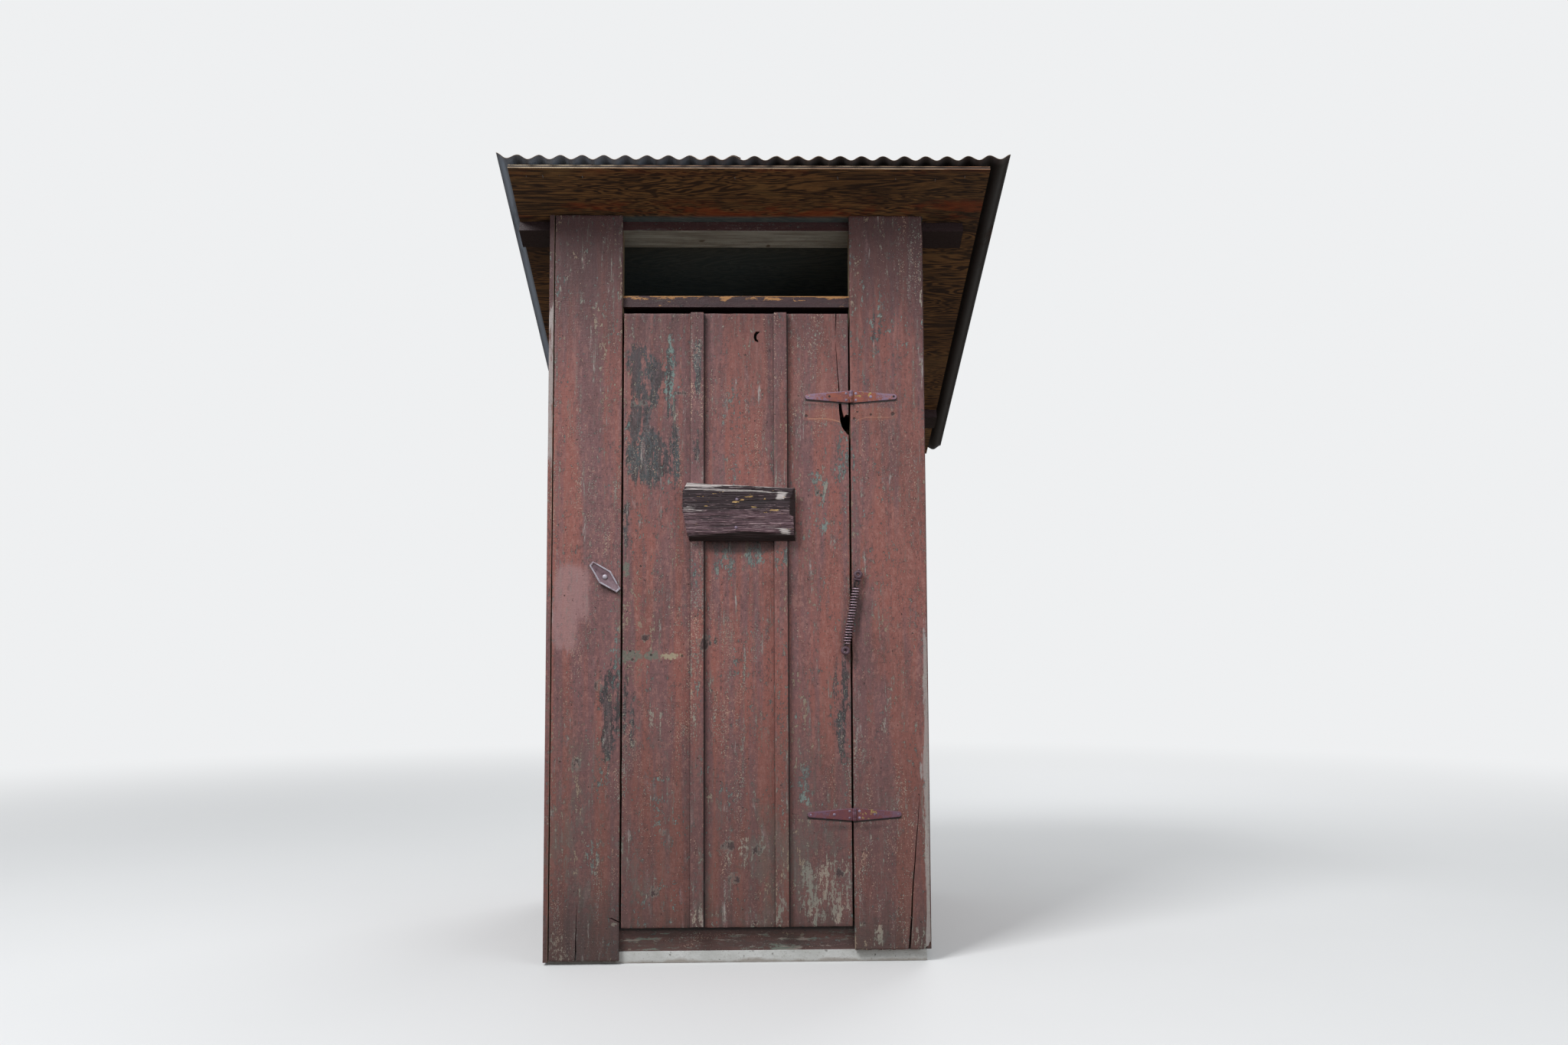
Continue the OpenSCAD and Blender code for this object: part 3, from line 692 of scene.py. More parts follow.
# %% [markdown]
# ## Boards with real edges
#
# A board drawn as a plain box looks new. Real ones have soft arrises, feet
# that wander, cracks and broken corners. Each board here starts as a block
# that is divided finely enough to bend. Its edges are bevelled, its points are
# pushed about by noise, and cracks are cut with booleans. Doing it in this
# order keeps the bevel clean, because it runs on straight edges.


# %% Blocks
def steps(low, high, size):
    """Evenly spaced places from low to high, about a size apart."""
    count = max(1, round((high - low) / size))
    return [low + (high - low) * i / count for i in range(count + 1)]


def shape(name, points, faces=(), edges=()):
    """An object from points and faces or edges, at the origin."""
    mesh = bpy.data.meshes.new(name)
    mesh.from_pydata([tuple(p) for p in points], edges, faces)
    piece = bpy.data.objects.new(name, mesh)
    scene.collection.objects.link(piece)
    return piece


def block(name, xs, ys, zs):
    """The outside of a block that is divided at the given places."""
    points, index, faces = [], {}, []
    back, right, top = len(ys) - 1, len(xs) - 1, len(zs) - 1

    def at(i, j, k):
        if (i, j, k) not in index:
            index[i, j, k] = len(points)
            points.append((xs[i], ys[j], zs[k]))
        return index[i, j, k]

    for i in range(right):
        for k in range(top):
            faces.append((at(i, 0, k), at(i + 1, 0, k), at(i + 1, 0, k + 1), at(i, 0, k + 1)))
            faces.append((at(i, back, k), at(i, back, k + 1), at(i + 1, back, k + 1), at(i + 1, back, k)))
        for j in range(back):
            faces.append((at(i, j, 0), at(i, j + 1, 0), at(i + 1, j + 1, 0), at(i + 1, j, 0)))
            faces.append((at(i, j, top), at(i + 1, j, top), at(i + 1, j + 1, top), at(i, j + 1, top)))
    for j in range(back):
        for k in range(top):
            faces.append((at(0, j, k), at(0, j, k + 1), at(0, j + 1, k + 1), at(0, j + 1, k)))
            faces.append((at(right, j, k), at(right, j + 1, k), at(right, j + 1, k + 1), at(right, j, k + 1)))
    return shape(name, points, faces)


print("blocks ready")

# %% [markdown]
# A bevel or a cut is a modifier that is settled into plain faces at once. The
# points of a piece are read and written as one array, so that noise can bend a
# whole board in a few lines.


# %% Bevels, points and cuts
def settle(piece):
    """Turns a piece and its modifiers into one plain mesh."""
    seen = piece.evaluated_get(bpy.context.evaluated_depsgraph_get())
    mesh = bpy.data.meshes.new_from_object(seen)
    piece.modifiers.clear()
    piece.data = mesh
    return piece


def soften(piece, width, angle=60):
    """Rounds the arrises that are sharper than an angle."""
    bevel = piece.modifiers.new("arris", "BEVEL")
    bevel.width = width
    bevel.segments = 2
    bevel.limit_method = "ANGLE"
    bevel.angle_limit = math.radians(angle)
    return settle(piece)


def get_points(piece):
    points = np.empty(len(piece.data.vertices) * 3)
    piece.data.vertices.foreach_get("co", points)
    return points.reshape(-1, 3)


def set_points(piece, points):
    piece.data.vertices.foreach_set("co", points.ravel())
    piece.data.update()


def mark_points(piece, name, values):
    """Writes one number to each point of a piece, for its material to read."""
    layer = piece.data.attributes.new(name, "FLOAT", "POINT")
    layer.data.foreach_set("value", np.asarray(values, dtype=np.float32))


def cut_through(piece, outlines):
    """Cuts outlines, drawn as x and z, through a board of the front."""
    points, faces = [], []
    for outline in outlines:
        first, count = len(points), len(outline)
        points += [(x, y, z) for y in (FACE_Y - 0.03, FACE_Y + 0.05) for x, z in outline]
        ring = range(count)
        faces.append([first + i for i in ring])
        faces.append([first + count + i for i in reversed(ring)])
        for i in ring:
            after = (i + 1) % count
            faces.append([first + after, first + i, first + count + i, first + count + after])
    tool = shape("cutter", points, faces)
    mesh = bmesh.new()
    mesh.from_mesh(tool.data)
    bmesh.ops.recalc_face_normals(mesh, faces=mesh.faces)
    mesh.to_mesh(tool.data)
    mesh.free()
    cut = piece.modifiers.new("cut", "BOOLEAN")
    cut.operation = "DIFFERENCE"
    cut.object = tool
    settle(piece)
    bpy.data.objects.remove(tool)
    return piece


def crack(foot, tip, width, seed, jitter=0.0012):
    """A jagged tapering outline from its wide end to its tip."""
    dice = random.Random(seed)
    count = 9
    left, right = [], []
    for i in range(count):
        share = i / count
        x = foot[0] + (tip[0] - foot[0]) * share + dice.uniform(-jitter, jitter)
        z = foot[1] + (tip[1] - foot[1]) * share
        half = width / 2 * (1 - share) + 0.0004
        left.append((x - half, z))
        right.append((x + half, z))
    return [*left, tuple(tip), *reversed(right)]


print("board helpers ready")

# %% [markdown]
# ## Stains that belong to a place
#
# Each stain is an oval on the front of the building: its middle, its half width
# and half height, and how strong it is, judged from the photograph.

# %% Where the stains are
STAINS = {
    "mildew": [
        (-300, 1905, 70, 85, 95), (-300, 1650, 80, 100, 85), (-345, 1770, 28, 80, 90),
        (-324, 1961, 48, 80, 100), (-331, 1800, 45, 66, 80),
        (-224, 1910, 24, 132, 90), (-270, 1661, 26, 83, 60),
        (-211, 1640, 19, 130, 70), (-332, 1607, 27, 45, 60),
        (-132, 1946, 14, 106, 60), (-135, 1688, 15, 57, 50),
        (-420, 818, 36, 173, 70), (344, 819, 28, 176, 60),
        (468, 2091, 21, 88, 60), (-81, 1038, 26, 26, 60),
        (-369, 1437, 12, 102, 50), (-356, 809, 22, 149, 40),
    ],
    "fleck": [
        (-224, 1930, 22, 122, 100), (-133, 1946, 15, 106, 80),
        (-138, 1279, 23, 86, 100), (-140, 934, 20, 189, 70),
        (-400, 966, 17, 118, 60), (-49, 1302, 48, 61, 100),
        (61, 1319, 34, 43, 100), (-81, 1038, 26, 26, 80),
        (-28, 718, 26, 68, 70), (278, 1557, 21, 81, 100),
        (285, 1417, 19, 32, 80), (-21, 1801, 38, 83, 60),
        (1, 1618, 22, 49, 60), (468, 2091, 21, 88, 50),
        (462, 1651, 10, 67, 60), (346, 1665, 24, 81, 70),
        (224, 568, 26, 71, 80), (282, 462, 10, 73, 70),
        (-468, 351, 19, 61, 80), (-446, 599, 28, 64, 60),
        (-585, 2218, 26, 59, 50), (-16, 559, 44, 74, 60),
        (-259, 524, 25, 111, 50), (4, 981, 25, 100, 50),
        (141, 1316, 23, 46, 90),
    ],
    "chalk": [
        (-270, 787, 23, 46, 80), (14, 361, 78, 51, 55),
        (272, 215, 88, 110, 85), (320, 298, 43, 37, 70),
        (450, 82, 18, 44, 90), (621, 400, 11, 360, 90),
        (618, 923, 10, 35, 90), (619, 2190, 8, 60, 60), (-579, 39, 31, 29, 80),
        (-133, 147, 24, 33, 70), (138, 169, 21, 62, 70),
        (278, 1557, 21, 81, 40), (-139, 934, 19, 189, 40),
        (520, 771, 98, 158, 20), (590, 70, 26, 40, 60),
        (455, 85, 14, 40, 110), (-590, 60, 30, 50, 70), (-398, 127, 13, 6, 110),
    ],
    "repaint": [(-547, 1193, 57, 95, 100), (-566, 1083, 42, 72, 90)],
    "print": [
        (-344, 991, 34, 19, 100), (-280, 990, 36, 15, 100),
        (-215, 990, 42, 9, 90), (-369, 1270, 9, 25, 80),
    ],
    "strap": [(298, 1788, 73, 21, 100), (455, 1793, 78, 21, 100)],
    # Painted shadows: beside and behind the spring, under and right of the sign, under the button and under both
    # hinges.
    "cast_shadow": [
        (392, 1140, 18, 115, 60), (380, 985, 20, 45, 60), (10, 1352, 160, 26, 90),
        (160, 1440, 22, 110, 70), (-418, 1212, 40, 20, 60), (300, 1824, 90, 8, 60),
        (380, 432, 110, 12, 50),
        (390, 1208, 9.5, 26, 120), (383.8, 1174, 9.5, 28, 120), (378, 1140, 9.5, 28, 120),
        (372, 1105, 9.5, 28, 120), (366, 1070, 9.5, 28, 120), (360.5, 1040, 9.5, 20, 120),
    ],
    "knot": [
        (-32, 372, 24, 19, 75), (65, 361, 17, 17, 65),
        (-12, 269, 22, 17, 75), (329, 281, 15, 15, 90),
        (-246, 418, 12, 12, 70), (-270, 230, 17, 17, 60),
        (-110, 1032, 23, 23, 60), (-528, 636, 17, 22, 60),
        (-455, 896, 15, 20, 60), (274, 1530, 15, 18, 70),
        (-303, 1050, 13, 12, 70), (-187, 1863, 18, 8, 70),
        (-327, 1829, 31, 10, 60),
    ],
}
SQUARE_STAINS = ("print", "strap", "repaint")
print(sum(len(spots) for spots in STAINS.values()), "stains placed")

# %% [markdown]
# The table is in millimetres, and the strengths are percent. Besides its stains
# each board gets its own shade, and a number that grows towards its long edges,
# where the coat wears first.


# %% Writing stains to points
def stain(piece, plank, batten_shadow=0.0):
    """Writes every stain to the points of a piece, and its own shade."""
    points = get_points(piece)
    for kind, spots in STAINS.items():
        power = 4 if kind in SQUARE_STAINS else 2
        mask = np.zeros(len(points))
        for *oval, strength in spots:
            x, z, half_x, half_z = (size / 1000 for size in oval)
            away = np.abs((points[:, 0] - x) / half_x) ** power + np.abs((points[:, 2] - z) / half_z) ** power
            reach = np.clip((1.35 - away ** (1 / power)) / 0.7, 0, 1)
            mask = np.maximum(mask, strength / 100 * reach * reach * (3 - 2 * reach))
        mark_points(piece, kind, mask)
    across = points[:, 0]
    reach = 0.022 if np.ptp(across) > 0.1 else 0.005
    rim = np.clip(1 - np.minimum(across - across.min(), across.max() - across) / reach, 0, 1)
    mark_points(piece, "edge", rim)
    mark_points(piece, "plank", np.full_like(rim, plank))
    # 1 on the door's pieces, which take the painted shadow beside the battens.
    mark_points(piece, "batten_shadow", np.full_like(rim, batten_shadow))
    return piece


print("stains of", ", ".join(STAINS))

# %% [markdown]
# ## The upright boards of the front
#
# Two wall boards stand beside the door, and three boards with two battens over
# their joints make the door. Each takes its place from the solid that it stands
# for. Where a board meets the sloping roof its upper end is cut to the slope.

# %% One worn board
CELL = (0.008, 0.010, 0.010)
ARRIS = 0.0015
WORN_EDGE = 0.012
SIDE_WEAR = 0.0008


def wobble(value, size, seed):
    """Smooth noise from -1 to 1 along a line."""
    return np.array([noise.noise((v / size, seed * 3.7, 0.5)) for v in value])


def worn_board(name, low, high, seed, foot=0.002, side=SIDE_WEAR, sloped=False):
    """A board between two corners whose foot and sides wander inwards by the given sizes."""
    spans = [steps(a, b, cell) for a, b, cell in zip(low, high, CELL)]
    piece = soften(block(name, *spans), ARRIS)
    points = get_points(piece)
    x, y, z = points.T
    if sloped:
        share = (z - low[2]) / (high[2] - low[2])
        z = z - share * (y - low[1]) * math.tan(SLOPE)
    from_edges = (x - low[0], high[0] - x, z - low[2], high[2] - z)
    left, right, bottom, top = (np.clip(1 - away / WORN_EDGE, 0, 1) for away in from_edges)
    x = x + left * side * (1 + wobble(z, 0.06, seed)) - right * side * (1 + wobble(z, 0.07, seed + 1))
    ragged = 1 + 0.7 * wobble(x, 0.018, seed + 2) + 0.5 * wobble(x, 0.006, seed + 3)
    z = z + bottom * foot * ragged - top * SIDE_WEAR * (1 + wobble(x, 0.03, seed + 4))
    y = y + 0.0006 * wobble(z + x * 3, 0.35, seed + 5) + 0.0003 * wobble(x * 9 + z * 0.4, 0.2, seed + 6)
    set_points(piece, np.column_stack([x, y, z]))
    return piece


def finish_piece(piece, material, body, stands_for=()):
    """Gives a finished piece its material and body, and hides the solids it stands for."""
    piece.data.materials.clear()
    piece.data.materials.append(material)
    piece.data.shade_smooth()
    piece.data.set_sharp_from_angle(angle=math.radians(35))
    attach(piece, body)
    if stands_for:
        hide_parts(*stands_for)
    return piece


print("boards are divided every", [round(size * 1000) for size in CELL], "mm")

# %% [markdown]
# The two boards beside the door have a rotten corner, a crack or two that run up
# from the foot, and small chips along the foot.

# %% The boards beside the door
low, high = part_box("front_board_left")
board = worn_board("wall_board_latch_side", low, high, seed=1, foot=0.003, sloped=True)
cut_through(
    board,
    [
        crack((low.x + 0.086, low.z - 0.01), (low.x + 0.090, low.z + 0.19), 0.004, 11),
        [(-0.4215, 0.1475), (-0.4100, 0.1445), (-0.3800, 0.1290), (-0.3800, 0.1340), (-0.4080, 0.1478)],
        [(low.x + 0.026, low.z - 0.01), (low.x + 0.032, low.z + 0.006), (low.x + 0.040, low.z - 0.01)],
        [(low.x + 0.134, low.z - 0.01), (low.x + 0.137, low.z + 0.007), (low.x + 0.156, low.z - 0.01)],
    ],
)
finish_piece(stain(board, 0.15), front_paint, "root", ["front_board_left"])

low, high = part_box("front_board_right")
board = worn_board("wall_board_hinge_side", low, high, seed=2, foot=0.003, sloped=True)
edge = high.x
rot = [(-0.028, -0.01), (-0.026, 0.003), (-0.018, 0.007), (-0.014, 0.013), (-0.008, 0.014), (-0.005, 0.025)]
cut_through(
    board,
    [
        crack((edge - 0.071, low.z - 0.01), (edge - 0.030, low.z + 0.520), 0.0065, 12, 0.0018),
        [(edge + dx, low.z + dz) for dx, dz in rot] + [(edge + 0.01, low.z + 0.036), (edge + 0.01, low.z - 0.01)],
        [(edge - 0.165, low.z - 0.01), (edge - 0.158, low.z + 0.005), (edge - 0.140, low.z - 0.01)],
    ],
)
finish_piece(stain(board, 0.25), front_paint, "root", ["front_board_right"])
print("wall boards", len(board.data.polygons), "faces")

# %% [markdown]
# The door's boards are cut the same way. The hinge-side board lost a
# piece below the upper hinge, and a crack runs up from there to its head. The
# middle board has the crescent of a loose knot.

# %% The door
low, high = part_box("door_boards")
strip_low, strip_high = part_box("door_battens")
STRIP_W = 0.044
GAP = 0.0015
joints = [strip_low.x + STRIP_W / 2, strip_high.x - STRIP_W / 2]
edges = [low.x, joints[0] - GAP, joints[0] + GAP, joints[1] - GAP, joints[1] + GAP, high.x]
notch_z = low.z + 1.66
notch = [(0.02, 0.016), (-0.010, 0.018), (-0.0155, 0.010), (-0.021, 0.030), (-0.0245, 0.056), (-0.0335, 0.056)]
notch += [(-0.0325, 0.028), (-0.0300, 0.008), (-0.0290, -0.004), (-0.024, -0.022), (-0.019, -0.031), (-0.011, -0.041)]
notch += [(-0.004, -0.050), (0.02, -0.052)]
crescent = [(0.009, 0.018), (-0.004, 0.018), (-0.011, 0.009), (-0.012, -0.003), (-0.008, -0.014), (0.003, -0.019)]
crescent += [(0.004, -0.013), (-0.001, -0.008), (-0.0025, -0.001), (-0.001, 0.007), (0.005, 0.012)]
door_cuts = {
    "door_board_middle": [[(0.067 + dx, 2.055 + dz) for dx, dz in crescent]],
    "door_board_hinge": [
        [(high.x + dx, notch_z + dz) for dx, dz in notch],
        crack((0.3325, high.z + 0.01), (0.3290, 2.055), 0.0030, 13, 0.0006),
        crack((0.3430, 1.832), (0.3290, 2.045), 0.0036, 14, 0.0006),
    ],
}
for number, name in enumerate(("door_board_latch", "door_board_middle", "door_board_hinge")):
    board_low = (edges[2 * number], low.y, low.z)
    board_high = (edges[2 * number + 1], high.y, high.z)
    board = worn_board(name, board_low, board_high, seed=20 + 7 * number, foot=0.0012)
    if name in door_cuts:
        cut_through(board, door_cuts[name])
    stain(board, (0.35, 0.05, 0.15)[number], batten_shadow=1.0)
    finish_piece(board, front_paint, "door", ["door_boards"])

for number, joint in enumerate(joints):
    strip_from = (joint - STRIP_W / 2, strip_low.y, strip_low.z)
    strip_to = (joint + STRIP_W / 2, strip_high.y, strip_high.z)
    strip = worn_board(f"door_strip_{number + 1}", strip_from, strip_to, seed=50 + number, foot=0.006, side=0.0006)
    finish_piece(stain(strip, 0.2 + 0.1 * number), front_paint, "door", ["door_battens"])
print("door boards done")

# %% [markdown]
# ## The sign
#
# The sign is an offcut with wandering edges, weathered until the hard grain
# stands up in ridges. It is a block in shares of its width and height that is
# stretched between four drawn edges, and then its face is pressed in along the
# grain. It is left bare: only specks of old yellow paint are on it.

# %% The sign's outline
SIGN_EDGES = {
    "foot": [(0, -0.44, -0.50), (0.30, -0.165, -0.45), (0.62, 0.14, -0.42), (0.76, 0.27, -0.45), (1, 0.49, -0.48)],
    "head": [(0, -0.46, 0.50), (0.25, -0.22, 0.47), (0.60, 0.11, 0.445), (1, 0.49, 0.40)],
    "left": [(0, -0.44, -0.50), (0.06, -0.46, -0.44), (0.5, -0.50, 0.0), (0.84, -0.50, 0.34), (1, -0.46, 0.50)],
    "right": [
        (0, 0.49, -0.48), (0.40, 0.485, -0.14), (0.44, 0.45, -0.10),
        (0.75, 0.452, 0.19), (0.86, 0.475, 0.28), (1, 0.49, 0.40),
    ],
}


def on_edge(name, share):
    """Places on one drawn edge of the sign."""
    drawn = np.array(SIGN_EDGES[name])
    return np.column_stack([np.interp(share, drawn[:, 0], drawn[:, i]) for i in (1, 2)])


low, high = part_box("sign_board")
SIGN_W, SIGN_D, SIGN_H = high - low
depths = [low.y + SIGN_D * share for share in (0, 0.05, 0.25, 0.5, 0.75, 1)]
sign = block("sign_offcut", steps(0, 1, 1 / 64), depths, steps(0, 1, 1 / 84))
points = get_points(sign)
across, up = points[:, 0], points[:, 2]
u, v = across[:, None], up[:, None]
flat = (1 - v) * on_edge("foot", across) + v * on_edge("head", across)
flat += (1 - u) * on_edge("left", up) + u * on_edge("right", up)
for a, b in ((0, 0), (0, 1), (1, 0), (1, 1)):
    corner = on_edge("right" if a else "left", [b])
    flat -= (u if a else 1 - u) * (v if b else 1 - v) * corner
print("sign", len(sign.data.polygons), "faces,", round(SIGN_W * 1000), "by", round(SIGN_H * 1000), "mm")

# %% [markdown]
# The saw ran askew, so the back stands out further than the front, below and in
# the broken right end. The front face is pressed in along the grain, and most
# at the rim, where the soft wood has gone.


# %% Its worn face
def noises(sizes, seed):
    """One noise value for each point of the sign's front."""
    return np.array([noise.noise((a / sizes[0], b / sizes[1], seed)) for a, b in zip(x, z)])


in_front = np.clip((high.y - points[:, 1]) / SIGN_D, 0, 1)
back = 1 - in_front
flat[:, 1] += back * (-0.595 - on_edge("foot", across)[:, 1]) * np.clip(1 - up / 0.12, 0, 1)
flat[:, 0] += back * (0.505 - on_edge("right", up)[:, 0]) * np.clip(1 - (1 - across) / 0.12, 0, 1)
x = (low.x + high.x) / 2 + flat[:, 0] * SIGN_W * 0.995
z = (low.z + high.z) / 2 + flat[:, 1] * SIGN_H * 0.99
relief = np.clip(0.5 - 0.62 * (noises((0.11, 0.0065), 1.0) + 0.7 * noises((0.2, 0.015), 5.0)), 0, 1)
from_foot, from_head = up * SIGN_H, (1 - up) * SIGN_H
worn = np.exp(-np.minimum.reduce([across * SIGN_W, (1 - across) * SIGN_W, from_foot, from_head]) / 0.004)
inwards = 0.0040 * relief + 0.0014 * (1 + noises((0.09, 0.05), 9.0)) + 0.0035 * worn * relief
y = points[:, 1] + inwards * in_front**3
z = z + 0.0016 * relief * (np.exp(-from_foot / 0.003) - np.exp(-from_head / 0.003))
set_points(sign, np.column_stack([x, y, z]))
print("deepest hollow", round(float(inwards.max()) * 1000, 1), "mm")

# %% [markdown]
# Three more masks say where the wood is bleached, where specks of old paint are
# left, and which faces lie in shade. Places are in shares of the sign.

# %% Where it is pale
BLEACHED = (
    (0.46, 0.885, 0.50, 0.020, 1), (0.92, 0.05, 0.06, 0.07, 1), (0.91, 0.80, 0.045, 0.10, 1),
    (0.10, 0.50, 0.12, 0.10, 0.5), (0.10, 0.96, 0.20, 0.04, 1), (0.70, 0.13, 0.30, 0.05, 0.35),
)
SPECKS = (
    (0.16, 0.75, 0.045, 0.018), (0.61, 0.75, 0.040, 0.014), (0.49, 0.64, 0.045, 0.022), (0.56, 0.68, 0.030, 0.026),
    (0.77, 0.73, 0.014, 0.018), (0.86, 0.50, 0.045, 0.014), (0.78, 0.45, 0.040, 0.012), (0.22, 0.56, 0.020, 0.014),
    (0.67, 0.54, 0.030, 0.012), (0.94, 0.12, 0.012, 0.020), (0.30, 0.81, 0.030, 0.010),
)


def oval(middle_u, middle_v, half_u, half_v, power):
    """1 in the middle of an oval on the sign, 0 outside it."""
    return np.exp(-(((across - middle_u) / half_u) ** power) - ((up - middle_v) / half_v) ** power)


pale = np.exp(-from_head / 0.006) + sum(strength * oval(*spot, 4) for *spot, strength in BLEACHED)
mark_points(sign, "valley", relief)
mark_points(sign, "pale", np.clip(pale, 0, 1))
mark_points(sign, "old_paint", np.clip(sum(oval(*spot, 2) for spot in SPECKS), 0, 1))
mark_points(sign, "shade", ((up < 0.001) | (across > 0.999)) * np.clip(back / 0.05, 0, 1))
print(len(SPECKS), "specks of paint")

# %% [markdown]
# The finish reads those masks. Fine lines follow the grain, dark in the hollows
# and pale on the ridges, and the specks and the bleached wood lie over them.


# %% Its weathered wood
def sign_finish():
    """Dark old timber with pale ridges and specks of yellow paint."""
    material, shader, place = new_finish("weathered_offcut")
    fibre = place.drawn("X", 0.08).cloud(330.0, 4.0, 0.65, 0.2)
    broad = place.drawn("X", 0.25).cloud(26.0, 3.0, 0.6)
    chip = place.drawn("X", 0.45).cloud(130.0, 3.0, 0.7)
    valley = place.mark("valley")
    z = place.parts()[2]
    upper = z.between(1.45, 1.49)
    lines = (z * 1150.0 + broad * 26.0 + fibre * 5.0).waves()
    ragged, grainy = fibre - 0.5, fibre.between(0.4, 0.6)
    deep = (valley * 0.6 + ragged * 0.8 - lines * 0.35).between(0.12, 0.42)
    ridge = (lines * 0.60 + ragged * 1.7 - valley * 0.20 - upper * 0.12).between(0.42, 0.66)
    bleached = (place.mark("pale") + ragged * 1.8 + lines * 0.35 - valley * 0.5).between(0.42, 0.80)
    chips = (chip + place.mark("old_paint") * 0.34 - valley * 0.1).between(0.64, 0.70)
    colour = coats(
        blend((upper * 0.6 + broad - 0.3).between(0.20, 0.60), (88, 64, 72), (44, 28, 34)),
        (deep * 0.85, (22, 12, 15)),
        (ridge * 0.8, (178, 150, 154)),
        (bleached * 0.9, (210, 202, 200)),
        (chips * 0.9, blend(grainy, (216, 190, 130), (186, 140, 84))),
        (place.mark("shade"), blend(grainy, (38, 18, 20), (24, 10, 12))),
    )
    set_finish(shader, colour, fibre * 0.2 + 0.62, fibre * 0.7 + lines * 0.6 - chips * 0.2, 0.0014)
    return material


finish_piece(sign, sign_finish(), "door", ["sign_board"])
print("sign finished")

# %% [markdown]
# ## Bare timber, plywood and concrete
#
# The frame behind the boards is softwood that was never painted. One function
# gives it grain along the timber's own length.


# %% Softwood
def softwood(name, along, pale, dark):
    """Unpainted timber whose grain runs along one axis."""
    material, shader, place = new_finish(name)
    grain = place.drawn(along, 0.05)
    rings = grain.cloud(32.0, 4.0, 0.6, 0.4)
    fibre = grain.cloud(240.0, 4.0, 0.65)
    blotch = place.drawn(along, 0.4).cloud(7.0, 4.0, 0.6)
    knots = place.drawn(along, 0.5).cloud(11.0, 1.0, 0.3).between(0.76, 0.80)
    lines = (rings * 60.0).waves()
    colour = coats(
        blend(rings.between(0.3, 0.7), pale, dark),
        (lines * 0.3, dark),
        (fibre.between(0.55, 0.75) * 0.4, (58, 48, 40)),
        (blotch.between(0.5, 0.75) * 0.35, (86, 82, 74)),
        (knots * 0.8, (60, 38, 24)),
    )
    set_finish(shader, colour, fibre * 0.2 + 0.62, fibre + lines * 0.3 - knots * 0.4, 0.0010)
    return material


bare_x, bare_y, bare_z = (
    softwood(f"bare_timber_{axis.lower()}", axis, (132, 116, 92), (100, 84, 64)) for axis in "XYZ"
)
old_floor = softwood("trodden_floor", "X", (112, 98, 80), (76, 64, 52))
print("softwood ready")

# %% [markdown]
# The plywood's face is veneer peeled off a turning log, so its grain lies in
# long flames. The same noise folded over many times draws them. Damp has drawn
# red tannin out of it along the wall and at the rim. Over the room it stays dry
# and grey-green, and its front edge shows a dark layer between two pale ones.

# %% Plywood
PLY_FRONT = -0.226


def plywood_finish():
    """Plywood whose face grain runs along X and whose edge shows its layers."""
    material, shader, place = new_finish("stained_plywood")
    x, y, z = place.parts()
    along, above = in_roof(y, z)
    flame = place.drawn("X", 0.13).cloud(8.0, 4.0, 0.6, 0.9)
    lines = (flame * 130.0 + place.drawn("X", 0.3).cloud(60.0, 3.0) * 3.0).waves()
    fibre = place.drawn("X", 0.05).cloud(260.0, 4.0, 0.7)
    blotch = place.drawn("X", 0.4).cloud(4.5, 5.0, 0.65, 0.5)
    ragged = blotch - 0.5
    near_wall = (along + ragged * 0.25).between(-0.085, -0.02) * along.between(0.03, 0.0)
    near_rim = (along + ragged * 0.12).between(-0.180, -0.222)
    red = (near_wall + near_rim * 0.5) * place.drawn("X", 0.3).cloud(14.0, 5.0, 0.7).between(0.46, 0.62)
    indoors = along.between(0.0, 0.02) * x.between(-0.632, -0.628) * x.between(0.632, 0.628)
    edge_tone = coats(
        blend(blotch.between(0.40, 0.60), (176, 158, 132), (128, 92, 68)),
        (fibre.between(0.52, 0.62) * 0.7, (70, 46, 34)),
        (above.between(0.0032, 0.0042) * above.between(0.0108, 0.0098), (30, 19, 16)),
    )
    colour = coats(
        blend(lines.between(0.15, 0.85), (138, 100, 58), (58, 37, 20)),
        (fibre.between(0.46, 0.62) * 0.5, (36, 22, 11)),
        (blotch.between(0.47, 0.62) * 0.5, (38, 23, 11)),
        (blotch.between(0.46, 0.36) * 0.4, (134, 104, 62)),
        (red * 0.62, (148, 62, 20)),
        (indoors * 0.9, blend(lines * 0.5, (84, 98, 100), (62, 72, 74))),
        (along.between(PLY_FRONT + 0.0012, PLY_FRONT + 0.0004), edge_tone),
    )
    set_finish(shader, colour, fibre * 0.2 + 0.6, fibre * 0.6 + lines * 0.5, 0.0008)
    return material


ply = plywood_finish()
print("plywood ready")

# %% [markdown]
# The pad is pale and rough, and rain has splashed soil up its foot.


# %% Concrete
def concrete_finish():
    """Pale rough concrete, stained by splashed soil."""
    material, shader, place = new_finish("rough_concrete")
    lump = place.cloud(9.0, 5.0, 0.6)
    grit = place.cloud(160.0, 4.0, 0.7)
    pits = place.cloud(75.0, 2.0).between(0.70, 0.74)
    soil = (place.parts()[2] + (lump - 0.5) * 0.05).between(0.014, 0.001)
    colour = coats(
        blend(lump.between(0.3, 0.7), (226, 228, 228), (202, 204, 202)),
        (grit.between(0.55, 0.7) * 0.5, (140, 138, 130)),
        (soil * 0.6, (122, 104, 86)),
        (pits * 0.6, (104, 100, 94)),
    )
    set_finish(shader, colour, grit * 0.15 + 0.78, grit * 0.6 + lump * 0.4 - pits, 0.0025)
    return material


pad = concrete_finish()
print("concrete ready")

# %% [markdown]
# ## Roofing
#
# Each sheet is one wave pressed into iron. A geometry tree bends a flat grid
# into it: the wave, the bend of the outer edges, and shallow dents, which are the same
# for all three sheets so that the laps still nest. Then it gives the sheet its
# thickness. One tree with named inputs makes all three.


